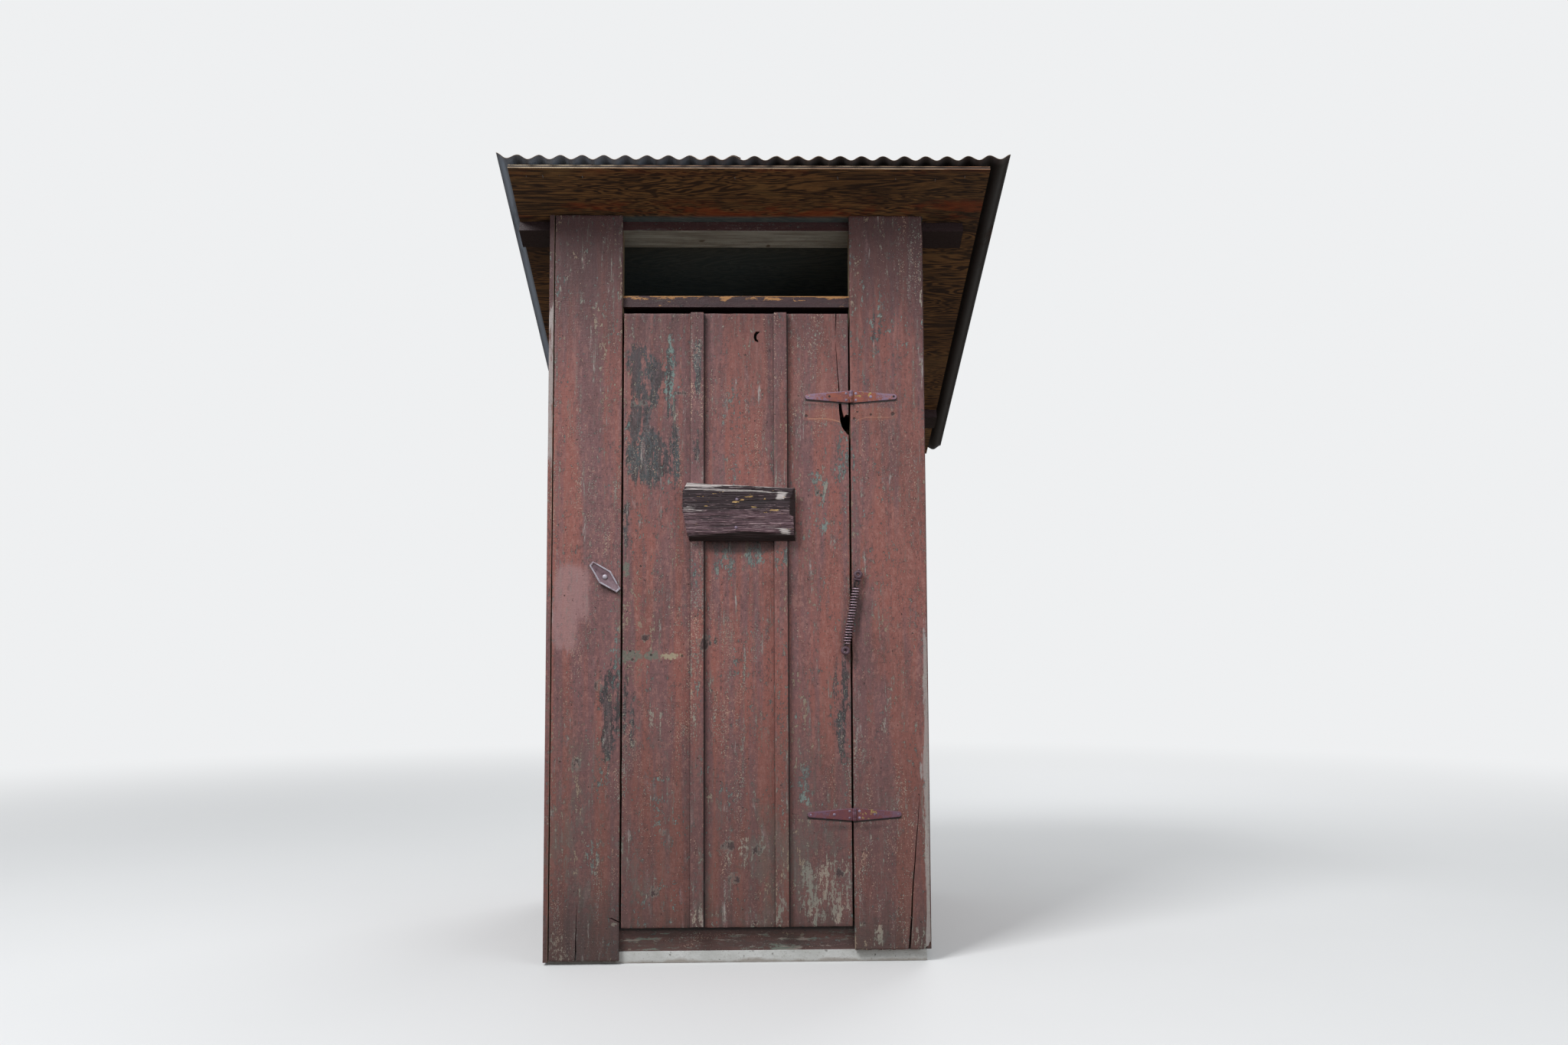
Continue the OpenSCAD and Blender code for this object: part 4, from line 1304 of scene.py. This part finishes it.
# %% The geometry trees' frame
def new_tree(name, sizes):
    """A geometry tree with number inputs, a material input, and its wires."""
    tree = bpy.data.node_groups.new(name, "GeometryNodeTree")
    tree.interface.new_socket("Geometry", in_out="INPUT", socket_type="NodeSocketGeometry")
    for size in sizes:
        kind = "NodeSocketInt" if size.startswith("Count") else "NodeSocketFloat"
        tree.interface.new_socket(size, in_out="INPUT", socket_type=kind)
    tree.interface.new_socket("Material", in_out="INPUT", socket_type="NodeSocketMaterial")
    tree.interface.new_socket("Geometry", in_out="OUTPUT", socket_type="NodeSocketGeometry")
    start = tree.nodes.new("NodeGroupInput")
    return tree, {socket.name: Wire(tree, socket) for socket in start.outputs if socket.name}


def end_tree(tree, result, material):
    """Ends a tree: real geometry, its material, and the output."""
    real = result.add("GeometryNodeRealizeInstances", None, {0: result})
    done = real.add("GeometryNodeSetMaterial", None, {"Geometry": real, "Material": material})
    tree.links.new(done.socket, tree.nodes.new("NodeGroupOutput").inputs[0])


def grow(piece, tree, material, **sizes):
    """Runs a geometry tree on a piece and keeps the plain mesh."""
    modifier = piece.modifiers.new("grow", "NODES")
    modifier.node_group = tree
    sizes["Material"] = material
    for item in tree.interface.items_tree:
        if item.in_out == "INPUT" and item.name in sizes:
            modifier[item.identifier] = sizes[item.name]
    return settle(piece)


def join(*wires):
    """One geometry from several."""
    joined = wires[0].tree.nodes.new("GeometryNodeJoinGeometry")
    for wire in wires:
        wire.tree.links.new(wire.socket, joined.inputs[0])
    return Wire(wires[0].tree, joined.outputs[0])


print("tree helpers ready")

# %% [markdown]
# The grid is one unit wide and long until it is bent. Across it counts waves, so
# that a sheet's first wave says where it lies, and along it measures metres
# down the slope from the front edge.

# %% The sheet's tree
PITCH = 0.0694
WAVE_H = 0.018
ROOF_WAVES = 24
SHEET_T = 0.0009
SHEET_FRONT = -0.248
BEND_LEFT, BEND_RIGHT, EDGE_LIFT = 1.5, 4.0, 0.0098


def sheet_tree():
    """Bends a grid into a corrugated sheet that lies on the roof's frame."""
    sizes = ["First", "Waves", "Length", "Base", "Dent", "Lap lift", "Count across", "Count along"]
    tree, given = new_tree("corrugated_sheet", sizes)
    counts = {"Size X": 1.0, "Size Y": 1.0, "Vertices X": given["Count across"], "Vertices Y": given["Count along"]}
    grid = given["First"].add("GeometryNodeMeshGrid", None, counts)
    place = grid.add("GeometryNodeInputPosition")
    px, py = place.parts()[:2]
    wave = (px + 0.5) * given["Waves"] + given["First"]
    along = (py + 0.5) * given["Length"]
    rise = (wave * (2 * math.pi)).maths("COSINE") * (WAVE_H / 2) + WAVE_H / 2
    left = (1 - wave / BEND_LEFT).most(0.0)
    right = (1 - (ROOF_WAVES - wave) / BEND_RIGHT).most(0.0)
    bend = (left * left + right * right) * EDGE_LIFT
    spot = wave.add("ShaderNodeCombineXYZ", None, {0: wave * PITCH, 1: along, 2: 0.0})
    dent = spot.cloud(2.6, 3.0, 0.55) * given["Dent"]
    drawn_out = wave.add("ShaderNodeCombineXYZ", None, {0: wave * PITCH, 1: along * 0.25, 2: 0.0})
    ripple = drawn_out.cloud(14.0, 2.0) * given["Dent"] * 0.35
    lap = (wave - given["First"] - given["Waves"] + 0.9).most(0.0)
    lap = lap * lap * given["Lap lift"] * (1 - along / 0.5).most(0.0)
    height = rise + bend + dent + ripple + lap + given["Base"]
    target = wave.add("ShaderNodeCombineXYZ", None, {0: wave * PITCH, 1: along, 2: height})
    under = grid.add("GeometryNodeSetPosition", None, {"Geometry": grid, "Position": target})
    flipped = under.add("GeometryNodeFlipFaces", None, {"Mesh": under})
    dark = {"Geometry": flipped, "Name": "under", "Value": 1.0}
    flipped = flipped.add("GeometryNodeStoreNamedAttribute", {"data_type": "FLOAT"}, dark)
    over = under.add("GeometryNodeExtrudeMesh", None, {"Mesh": under, "Offset Scale": SHEET_T, "Individual": False})
    shell = join(over, flipped)
    merged = shell.add("GeometryNodeMergeByDistance", None, {"Geometry": shell, "Distance": 0.00005})
    end_tree(tree, merged, given["Material"])
    return tree


corrugated = sheet_tree()
print("sheet tree has", len(corrugated.nodes), "nodes")

# %% [markdown]
# The iron has gone dull, with rust on its front edge. Its underside is painted
# with shade, dark brown on the right, and with the sky's reflection, blue-grey on
# the left. The front lip takes a painted highlight.


# %% Old iron roofing
def roofing_finish():
    """Galvanised iron gone dull, with rust on its edges, a painted highlight on its lip, and painted shade and
    reflection on its underside.
    """
    material, shader, place = new_finish("old_roofing")
    x, y, z = place.parts()
    along = in_roof(y, z)[0]
    spangle = place.cloud(55.0, 2.0, 0.6)
    streak = place.stretched((1, 0.12, 0.3)).cloud(24.0, 4.0, 0.65)
    blotch = place.cloud(5.0, 5.0, 0.65, 0.4)
    ragged = blotch - 0.5
    under = place.mark("under")
    at_front = (along + ragged * 0.10).between(SHEET_FRONT + 0.07, SHEET_FRONT)
    rust = (blotch + (streak - 0.5) * 0.5).between(0.62, 0.74)
    rust = (rust + at_front * (spangle + 0.1)).least(1.0)
    # Painted shade on the right of the underside, and painted sky reflection on its left.
    underside_shade_and_sky = coats(
        blend((x + ragged * 0.6).between(-0.65, 0.3), (150, 166, 186), (24, 16, 10)),
        (streak.between(0.50, 0.7) * 0.5, (34, 28, 26)),
    )
    # Painted highlight along the sheets' front lip.
    lip_highlight = along.between(SHEET_FRONT + 0.0022, SHEET_FRONT + 0.0012)
    colour = coats(
        blend(streak.between(0.35, 0.65), (134, 140, 146), (96, 102, 110)),
        (spangle.between(0.45, 0.6) * 0.25, (156, 162, 168)),
        (rust * 0.75, blend(spangle.between(0.4, 0.65), (120, 70, 42), (86, 52, 38))),
        (under * 0.92, underside_shade_and_sky),
        (lip_highlight * 0.8, blend(spangle.between(0.4, 0.6), (176, 160, 142), (128, 104, 84))),
    )
    metal = (1 - rust) * (1 - under * 0.7) * 0.45
    roughness = rust * 0.3 + spangle * 0.2 + under * 0.1 + 0.34
    set_finish(shader, colour, roughness, blotch * 0.3 + rust * spangle, 0.0006, metal)
    return material


roof_iron = roofing_finish()
print("roofing finish ready")

# %% [markdown]
# The sheets are bent in the roof's own frame and then tilted into the world. The
# outer two lie over the middle one by a little more than two waves.


# %% Three sheets
def on_roof(piece):
    """Moves the points of a piece from the roof's own frame into the world."""
    turn = np.array(Matrix.Rotation(-SLOPE, 3, "X"))
    set_points(piece, get_points(piece) @ turn.T + np.array(ROOF_ORIGIN))


sheet_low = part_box("roof_sheet_left")[0]
SHEET_LEN = 1.8586
SHEET_RISE = 0.0133
for name, first, waves, base, lap in (
    ("left", 0.0, 11.35, 0.0012, 0.006),
    ("middle", 9.0, 6.5, 0.0, 0.0),
    ("right", 13.0, 11.0, 0.0012, 0.0),
):
    sheet = shape(f"roofing_{name}", [(0, 0, 0)], [])
    grow(
        sheet, corrugated, roof_iron,
        **{"First": first, "Waves": waves, "Length": SHEET_LEN, "Base": base, "Dent": 0.003, "Lap lift": lap},
        **{"Count across": round(waves * 12) + 1, "Count along": 56},
    )
    set_points(sheet, get_points(sheet) + (sheet_low.x, SHEET_FRONT, SHEET_RISE))
    on_roof(sheet)
    finish_piece(sheet, roof_iron, "root", [f"roof_sheet_{name}"])
    print(sheet.name, len(sheet.data.polygons), "faces")

# %% [markdown]
# ## Painted iron
#
# The hinges, the turn button and the spring were painted with the boards and
# have rusted through since. Paint stays in the hollows, and edges go bright or
# rusty first. A softened copy of each solid stands for it, because a real
# forging has no knife edges. The points of a hinge's copy also say which of
# them lie on its margin.


# %% Softened copies of solids
def middle_of(node):
    """The middle of a solid's box."""
    low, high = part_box(node)
    return (low + high) / 2


def softened(node, width):
    """A copy of a solid with merged faces and rounded arrises."""
    mesh = bmesh.new()
    mesh.from_mesh(nodes[node].data)
    bmesh.ops.remove_doubles(mesh, verts=mesh.verts, dist=0.00001)
    bmesh.ops.dissolve_limit(mesh, angle_limit=math.radians(1), verts=mesh.verts, edges=mesh.edges)
    bmesh.ops.recalc_face_normals(mesh, faces=mesh.faces)
    piece = shape(f"soft_{node}", [])
    mesh.to_mesh(piece.data)
    mesh.free()
    return soften(piece, width, angle=40)


def rimmed(piece, width, height):
    """Marks the margin of a hinge's front faces, with the upper edge marked most for a painted highlight, and round
    its tip.
    """
    mesh = bmesh.new()
    mesh.from_mesh(piece.data)
    front = [face for face in mesh.faces if face.normal.y < -0.95 and face.calc_area() > 0.00005]
    bmesh.ops.inset_region(mesh, faces=front, thickness=width, use_even_offset=True)
    mesh.verts.index_update()
    inner = {vert.index for face in front for vert in face.verts}
    mesh.to_mesh(piece.data)
    mesh.free()
    values = []
    for vert in piece.data.vertices:
        outer = 0.15 if vert.index in inner else 1.0
        # The upper edge gets the full margin as a painted highlight, the lower edge less.
        side = 1.0 if vert.co.z > height - 0.003 else 0.45
        tip = 0.9 if abs(vert.co.x - HINGE_X) > 0.142 else 0.0
        values.append(max(outer * side, tip))
    mark_points(piece, "rim", values)
    return piece


print("copies ready")

# %% [markdown]
# One function makes every painted iron: paint over rust, with the edges worn to
# metal. What stands out further than a given place is rubbed bright.


# %% Painted iron
def iron_finish(name, paint, bare, rust, bright, wear=0.0, raised=None, touch=None):
    """Painted iron: paint over rust, worn to bare metal by the given share."""
    material, shader, place = new_finish(name)
    lump = place.cloud(38.0, 4.0, 0.6, 0.3)
    grain = place.cloud(210.0, 4.0, 0.7)
    uneven = lump - 0.5
    rusted = (grain + uneven * 0.5).between(0.60 - wear, 0.68 - wear)
    margin = (place.mark("rim") + (grain - 0.5) * 1.4 + uneven * 1.2).between(0.50, 0.90)
    chip = place.cloud(95.0, 3.0, 0.7, 0.3).between(0.66 - wear * 0.5, 0.70 - wear * 0.5)
    colour = coats(
        blend(lump.between(0.35, 0.65), paint, bare),
        (rusted * 0.8, rust),
        # Worn margins, lighter along the hinges' upper edges as a painted highlight.
        (margin * 0.75, (146, 126, 152)),
    )
    if raised is not None:
        proud = place.parts()[1].between(raised + 0.0006, raised) * (grain - 0.5 + lump).between(0.30, 0.60)
        colour = blend(proud * 0.8, colour, bright)
        chip = (chip + proud * 0.6).least(1.0)
    colour = blend(chip * 0.8, colour, bright)
    if touch:
        colour = touch(place, colour, grain)
    height = grain * 0.5 + lump * 0.5 - chip * 0.4
    set_finish(shader, colour, grain * 0.25 + rusted * 0.15 + 0.38, height, 0.0007, rusted * 0.15 + chip * 0.3)
    return material


def hinge_touch(place, colour, grain):
    """The lower hinge is purple under grime, and both have yellow flecks right of the pin."""
    x, z = place.parts()[::2]
    right = x.between(HINGE_X + 0.006, HINGE_X + 0.016) * x.between(HINGE_X + 0.100, HINGE_X + 0.050)
    yellow = (place.cloud(85.0, 3.0, 0.6) + grain * 0.2 + right * 0.13).between(0.80, 0.84)
    holes = [(HINGE_X + away, FACE_Y - 0.003, HINGE_HEIGHTS[0] + 0.001) for away in (0.1430, -0.0724)]
    return coats(
        colour,
        (z.between(1.0, 0.9) * 0.6, (92, 52, 70)),
        (yellow * 0.8, (176, 156, 92)),
        *((place.away_from(hole).between(0.0046, 0.0034), (18, 10, 12)) for hole in holes),
        ((x - HINGE_X).size().between(0.0016, 0.0010) * 0.7, (40, 24, 28)),
    )


hinge_iron = iron_finish(
    "painted_hinge", (148, 84, 68), (124, 72, 70), (80, 44, 38), (178, 142, 96), touch=hinge_touch
)
button_iron = iron_finish(
    "painted_button", (128, 104, 112), (112, 88, 98), (74, 54, 60), (190, 186, 198), raised=FACE_Y - 0.0112
)
screw_iron = iron_finish("hinge_screws", (150, 136, 158), (110, 92, 108), (74, 46, 44), (190, 186, 200))
ring_iron = iron_finish("spring_rings", (96, 72, 84), (70, 50, 60), (48, 32, 36), (160, 140, 158), 0.03)
nail_iron = iron_finish("nail_heads", (96, 66, 62), (70, 56, 56), (58, 38, 32), (170, 164, 160), 0.06)
roof_nail = iron_finish("roof_nails", (128, 130, 132), (110, 106, 104), (98, 62, 44), (176, 178, 180), 0.05)
print("iron finishes ready")

# %% [markdown]
# The plate of each hinge stays on the wall and its strap goes with the door.
# The turn button has a body of its own, and its bolt stays on the wall.

# %% Hinges and button
RIM_W = 0.0030
for node, body in (
    ("hinge_upper_plate", "root"), ("hinge_upper_strap", "door"),
    ("hinge_lower_plate", "root"), ("hinge_lower_strap", "door"),
):
    softer = rimmed(softened(node, 0.0006), RIM_W, middle_of(node).z)
    finish_piece(softer, hinge_iron, body, [node])
for node, width, body in (("turn_button", 0.0009, "button"), ("button_bolt", 0.0006, "root")):
    finish_piece(softened(node, width), button_iron, body, [node])
print("hinges and button ready")

# %% [markdown]
# ## The door spring
#
# A close-wound spring pulls the door shut. Its wire is one line: a loop at
# the lower end, twenty-one turns, and a loop at the upper end. The line is
# drawn point by point, and a geometry tree sweeps a round section along it.
# The lower end goes with the door.


# %% The wire
def spring_finish():
    """Wire that is rubbed lavender grey in front, its pale tone partly a painted highlight, and black behind with
    painted shade.
    """
    material, shader, place = new_finish("spring_wire")
    grain = place.cloud(210.0, 4.0, 0.7)
    # Painted shade: the half of the coil towards the door is black, for the dark seen between its turns.
    behind = (place.parts()[1] + (grain - 0.5) * 0.003).between(-0.6440, -0.6405)
    colour = coats(
        blend(grain.between(0.4, 0.6), (188, 166, 178), (128, 100, 112)),
        (place.cloud(60.0, 3.0).between(0.58, 0.66) * 0.8, (92, 62, 60)),
        (behind, (22, 13, 18)),
    )
    set_finish(shader, colour, grain * 0.3 + 0.3, grain, 0.0003, (1 - behind) * 0.3)
    return material


def wire_tree():
    """Sweeps a round section along the edges of a piece."""
    tree, given = new_tree("round_wire", ["Radius", "Count sides"])
    line = given["Geometry"].add("GeometryNodeMeshToCurve", None, {"Mesh": given["Geometry"]})
    ring = {"Resolution": given["Count sides"], "Radius": given["Radius"]}
    section = line.add("GeometryNodeCurvePrimitiveCircle", None, ring)
    tube = line.add("GeometryNodeCurveToMesh", None, {"Curve": line, "Profile Curve": section, "Fill Caps": True})
    end_tree(tree, tube, given["Material"])
    return tree


spring_iron = spring_finish()
round_wire = wire_tree()
print("wire ready")

# %% [markdown]
# The spring's own directions are along its axis, out from the door, and to its
# side. Each end is a loop, and the coil draws in towards the middle line in its
# last half turn, so that the loops continue it.

# %% The coil
WIRE_R = 0.0023
COIL_R = 0.0110
TURNS = 21
SPRING_OUT = 0.015
eye_wall = Vector((middle_of("spring_eye_wall").x, FACE_Y - SPRING_OUT, 1.270))
eye_door = Vector((middle_of("spring_eye_door").x, FACE_Y - SPRING_OUT, 1.000))
axis = (eye_wall - eye_door).normalized()
out = Vector((0, -1, 0))
side = out.cross(axis).normalized()


def hook(eye, way, away):
    """A loop at a distance from an eye, from its tip to the spring's middle line."""
    loop_r = 0.0070
    centre = eye + axis * way * away
    places = []
    for i in range(17):
        angle = math.radians(-150 + 240 * i / 16)
        places.append(centre - axis * way * loop_r * math.cos(angle) + side * loop_r * math.sin(angle))
    return places


def coil_places():
    """The coil's own points, which start and end near its axis."""
    start, coil_len = 0.027, 0.191
    places = []
    for i in range(TURNS * 18 + 1):
        share = i / (TURNS * 18)
        angle = 2 * math.pi * TURNS * share
        ease = min(1, share * TURNS * 1.6 + 0.35, (1 - share) * TURNS * 1.6 + 0.35)
        up = eye_door + axis * (start + coil_len * share)
        places.append(up + (side * math.cos(angle) + out * math.sin(angle)) * COIL_R * ease)
    return places


places = hook(eye_door, 1, 0.013) + coil_places() + hook(eye_wall, -1, 0.043)[::-1]
spring = shape("door_spring_wire", places, edges=[(i, i + 1) for i in range(len(places) - 1)])
grow(spring, round_wire, spring_iron, **{"Radius": WIRE_R, "Count sides": 8})
spring.data.shade_smooth()
spring.data.set_sharp_from_angle(angle=math.radians(50))
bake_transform(spring)
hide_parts("door_spring")
print("spring", len(spring.data.polygons), "faces")

# %% [markdown]
# Each end hangs in a thick ring of bent iron that is screwed to the wood. The
# upper ring also holds a short pin, which the spring's loop is hooked over.

# %% The rings
RING_STEPS = 20
RING_HALF_W, RING_HALF_H, RING_WIRE = 0.0096, 0.0090, 0.0058
PIN_HALF, PIN_WIRE = 0.0115, 0.0032


def thick_wire(name, points, edges, radius, body):
    """A bent iron that is ten-sided in section."""
    piece = shape(name, points, edges=edges)
    grow(piece, round_wire, ring_iron, **{"Radius": radius, "Count sides": 10})
    finish_piece(piece, ring_iron, body)


angles = [2 * math.pi * i / RING_STEPS for i in range(RING_STEPS)]
closed = [(i, (i + 1) % RING_STEPS) for i in range(RING_STEPS)]
for name, centre, body in (
    ("spring_ring_wall", eye_wall - axis * 0.0155, "root"), ("spring_ring_door", eye_door + axis * 0.005, "door"),
):
    ring = [centre + side * RING_HALF_W * math.sin(a) + axis * RING_HALF_H * math.cos(a) for a in angles]
    thick_wire(name, ring, closed, RING_WIRE, body)
pin = [eye_wall - axis * 0.0325 + out * 0.002 + side * shift for shift in (-PIN_HALF, 0.0, PIN_HALF)]
thick_wire("spring_pin", pin, [(0, 1), (1, 2)], PIN_WIRE, "root")
print("two rings and a pin")

# %% [markdown]
# ## Nails and screws
#
# Every head is a low dome. A geometry tree puts one on each point and turns it
# to face the way that point says.


# %% Heads on points
def head_tree():
    """A low dome on every point, turned to face the point's own way."""
    tree, given = new_tree("round_heads", ["Radius", "Height", "Shoulder"])
    radius, height, shoulder = given["Radius"], given["Height"], given["Shoulder"]

    def cone(bottom, top, depth):
        sizes = {"Vertices": 10, "Radius Bottom": bottom, "Radius Top": top, "Depth": depth}
        return radius.add("GeometryNodeMeshCone", None, sizes)

    base = cone(radius, radius * shoulder, height * 0.55)
    crown = cone(radius * shoulder, radius * shoulder * 0.45, height * 0.45)
    lifted = radius.add("ShaderNodeCombineXYZ", None, {2: height * 0.55})
    crown = crown.add("GeometryNodeTransform", None, {"Geometry": crown, "Translation": lifted})
    head = join(base, crown)
    facing = head.add("GeometryNodeInputNamedAttribute", {"data_type": "FLOAT_VECTOR"}, {"Name": "facing"})
    size = head.add("GeometryNodeInputNamedAttribute", {"data_type": "FLOAT"}, {"Name": "size"})
    turn = facing.add("FunctionNodeAlignRotationToVector", {"axis": "Z"}, {"Vector": facing})
    placed = head.add(
        "GeometryNodeInstanceOnPoints", None,
        {"Points": given["Geometry"], "Instance": head, "Rotation": turn, "Scale": size},
    )
    end_tree(tree, placed, given["Material"])
    return tree


round_heads = head_tree()
print("head tree has", len(round_heads.nodes), "nodes")

# %% [markdown]
# A ray from outside finds the surface, so each head sits on the wood or iron
# that carries it, whatever its dents.


# %% Heads on surfaces
def surfaces():
    """Everything that a fastener can sit on, as trees of faces for rays."""
    found = []
    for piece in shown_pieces():
        mesh = piece.data
        found.append(BVHTree.FromPolygons([v.co for v in mesh.vertices], [p.vertices for p in mesh.polygons]))
    return found


RAY_REACH = 0.03


def heads(name, spots, form, material, body):
    """Puts a head where a ray against each spot's facing meets a surface."""
    radius, height, shoulder = form
    places, facings, sizes = [], [], []
    for place, facing, size in spots:
        place, facing = Vector(place), Vector(facing).normalized()
        hits = [tree.ray_cast(place + facing * RAY_REACH, -facing, 2 * RAY_REACH) for tree in SOLID]
        hits = [hit for hit in hits if hit[0] is not None]
        if hits:
            nearest = min(hits, key=lambda hit: hit[3])
            places.append(nearest[0] - facing * height * size * 0.25)
            facings.append(facing)
            sizes.append(size)
    piece = shape(name, places)
    layer = piece.data.attributes.new("facing", "FLOAT_VECTOR", "POINT")
    layer.data.foreach_set("vector", [v for facing in facings for v in facing])
    mark_points(piece, "size", sizes)
    grow(piece, round_heads, material, Radius=radius, Height=height, Shoulder=shoulder)
    finish_piece(piece, material, body)
    print(name, len(places), "of", len(spots))


SOLID = surfaces()
print("rays can meet", len(SOLID), "pieces")

# %% [markdown]
# The front nails stand where the photograph shows them. The form of a head is
# its radius, its height and the share of the radius that its shoulder has.

# %% Nails of the front
NAIL = (0.0036, 0.0016, 0.75)
FRONT = (0, -1, 0)
dice = random.Random(7)
seen_nails = {
    "door": [
        (-0.1487, 2.0968), (-0.1435, 2.0056), (0.1519, 2.0893), (-0.1488, 0.1728), (0.1230, 1.9199),
        (0.1251, 1.7904), (-0.1202, 1.7235), (-0.0999, 1.8034), (0.2059, 0.1721), (0.0148, 0.1714),
        (0.0153, 0.4968), (-0.1390, 1.1200), (0.1480, 1.0750), (-0.1300, 0.6600), (0.1400, 0.5700),
    ],
    "root": [
        (0.5779, 1.0616), (-0.5015, 0.0937), (0.3954, 0.7817), (-0.3511, 0.0850), (-0.2326, 0.0548),
        (-0.5750, 2.2600), (-0.4200, 2.2450), (0.4150, 2.2500), (0.5700, 2.2600), (-0.5700, 1.1900),
        (-0.4250, 0.1150), (0.4100, 0.1250), (0.5600, 0.1400), (0.5650, 1.7300), (-0.5800, 0.6500),
    ],
}
for body, found in seen_nails.items():
    spots = [((x, FACE_Y - 0.02, z), FRONT, dice.uniform(0.85, 1.15)) for x, z in found]
    heads(f"front_nails_{body}", spots, NAIL, nail_iron, body)

# %% [markdown]
# The side and back battens are nailed at the girts and rims in the same way.

# %% Nails of the other sides
wall_spots = []
for height in (0.10, 0.62, 1.18, 1.72, 2.10):
    for place in (-0.435, -0.145, 0.145, 0.435):
        for shift in (-0.008, 0.009):
            z = height + dice.uniform(-0.015, 0.015)
            size = dice.uniform(0.85, 1.15)
            wall_spots.append(((-0.660, place + shift, z), (-1, 0, 0), size))
            wall_spots.append(((0.660, place - shift, z + 0.01), (1, 0, 0), size))
            if z < 1.9:
                wall_spots.append(((place + shift, 0.655, z), (0, 1, 0), size))
heads("wall_nails", wall_spots, NAIL, nail_iron, "root")

# %% [markdown]
# Roofing nails with washers go through every third crest over each purlin, and
# a few nails miss their timber: their tips stand out of the eaves' underside.

# %% Nails of the roof
ROOF_UP = (0, math.sin(SLOPE), math.cos(SLOPE))
WASHERED_NAIL = (0.0085, 0.0042, 0.45)
NAIL_TIP = (0.0016, 0.0110, 0.8)


def from_roof(x, along, up):
    """A place in the world from a place in the roof's own frame."""
    return ROOF_ORIGIN + Matrix.Rotation(-SLOPE, 3, "X") @ Vector((x, along, up))


roof_spots = []
for along in (0.082, 0.68, 1.282):
    for wave in range(1, 24, 3):
        x = sheet_low.x + wave * PITCH + dice.uniform(-0.003, 0.003)
        place = from_roof(x, along + dice.uniform(-0.012, 0.012), 0.035)
        roof_spots.append((place, ROOF_UP, dice.uniform(0.9, 1.1)))
heads("roofing_nails", roof_spots, WASHERED_NAIL, roof_nail, "root")

tips = []
for x in (-0.682, -0.628, -0.575, -0.500, -0.005, 0.330, 0.520, 0.650, 0.745):
    size = dice.uniform(0.6, 1.3)
    lean = (dice.uniform(-0.3, 0.3), dice.uniform(-0.1, 0.1) - ROOF_UP[1], -ROOF_UP[2])
    tips.append((from_roof(x, dice.uniform(-0.198, -0.178), -0.004), lean, size))
heads("nail_tips", tips, NAIL_TIP, roof_nail, "root")

# %% [markdown]
# ## Screws of the hinges and nails of the sign
#
# Each hinge leaf has four screws: two at the root, one half way and one at the
# tip. The upper hinge has lost two of them. Two old round nails hold the sign.

# %% Screws
SCREW = (0.0050, 0.0022, 0.8)
ROUND_NAIL = (0.0056, 0.0046, 0.7)
pin_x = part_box("hinge_upper_plate")[0].x + 0.0055
screws = {"root": [], "door": []}
for z in (middle_of("hinge_upper_plate").z, middle_of("hinge_lower_plate").z):
    for away, up in ((0.016, 0.011), (0.016, -0.011), (0.066, 0.0), (0.143, 0.0)):
        for body, way in (("root", 1), ("door", -1)):
            if z > 1 and (away, way) in ((0.143, 1), (0.066, -1)):
                continue
            size = 0.75 if away == 0.143 else dice.uniform(0.9, 1.1)
            screws[body].append(((pin_x + way * away, FACE_Y - 0.012, z + up), FRONT, size))
for body, spots in screws.items():
    heads(f"hinge_screws_{body}", spots, SCREW, screw_iron, body)
sign_nails = [((-0.0016, FACE_Y - 0.06, 1.5025), FRONT, 1.0), ((-0.0040, FACE_Y - 0.06, 1.4090), FRONT, 1.1)]
heads("sign_nails", sign_nails, ROUND_NAIL, screw_iron, "door")

# %% [markdown]
# ## Finishes for the timbers
#
# The timbers behind the boards are right as they are, so they keep their solid
# shapes and only take a material in their own slots.

# %% Finishes of the solids
FINISHES = {
    wall_paint: ["side_wall_left", "side_wall_right", "back_wall", "battens_left", "battens_right", "battens_back"],
    rail_paint: ["header_rail"],
    kick_paint: ["rim_front"],
    purlin_paint: ["purlin_front", "purlin_back"],
    bare_x: ["rim_back", "door_ledges", "girts"],
    bare_y: ["rim_left", "rim_right", "joists", "rafter_left", "rafter_right"],
    bare_z: [
        "post_front_left", "post_front_right", "post_back_left", "post_back_right",
        "door_stud_left", "door_stud_right",
    ],
    old_floor: ["floor_planks"],
    ply: ["roof_deck_front", "roof_deck_back"],
    pad: ["concrete_pad"],
    spring_iron: ["spring_eye_wall", "spring_eye_door"],
}
for material, names in FINISHES.items():
    for name in names:
        for slot in nodes[name].material_slots:
            slot.material = material
print("solids finished:", sum(len(names) for names in FINISHES.values()))
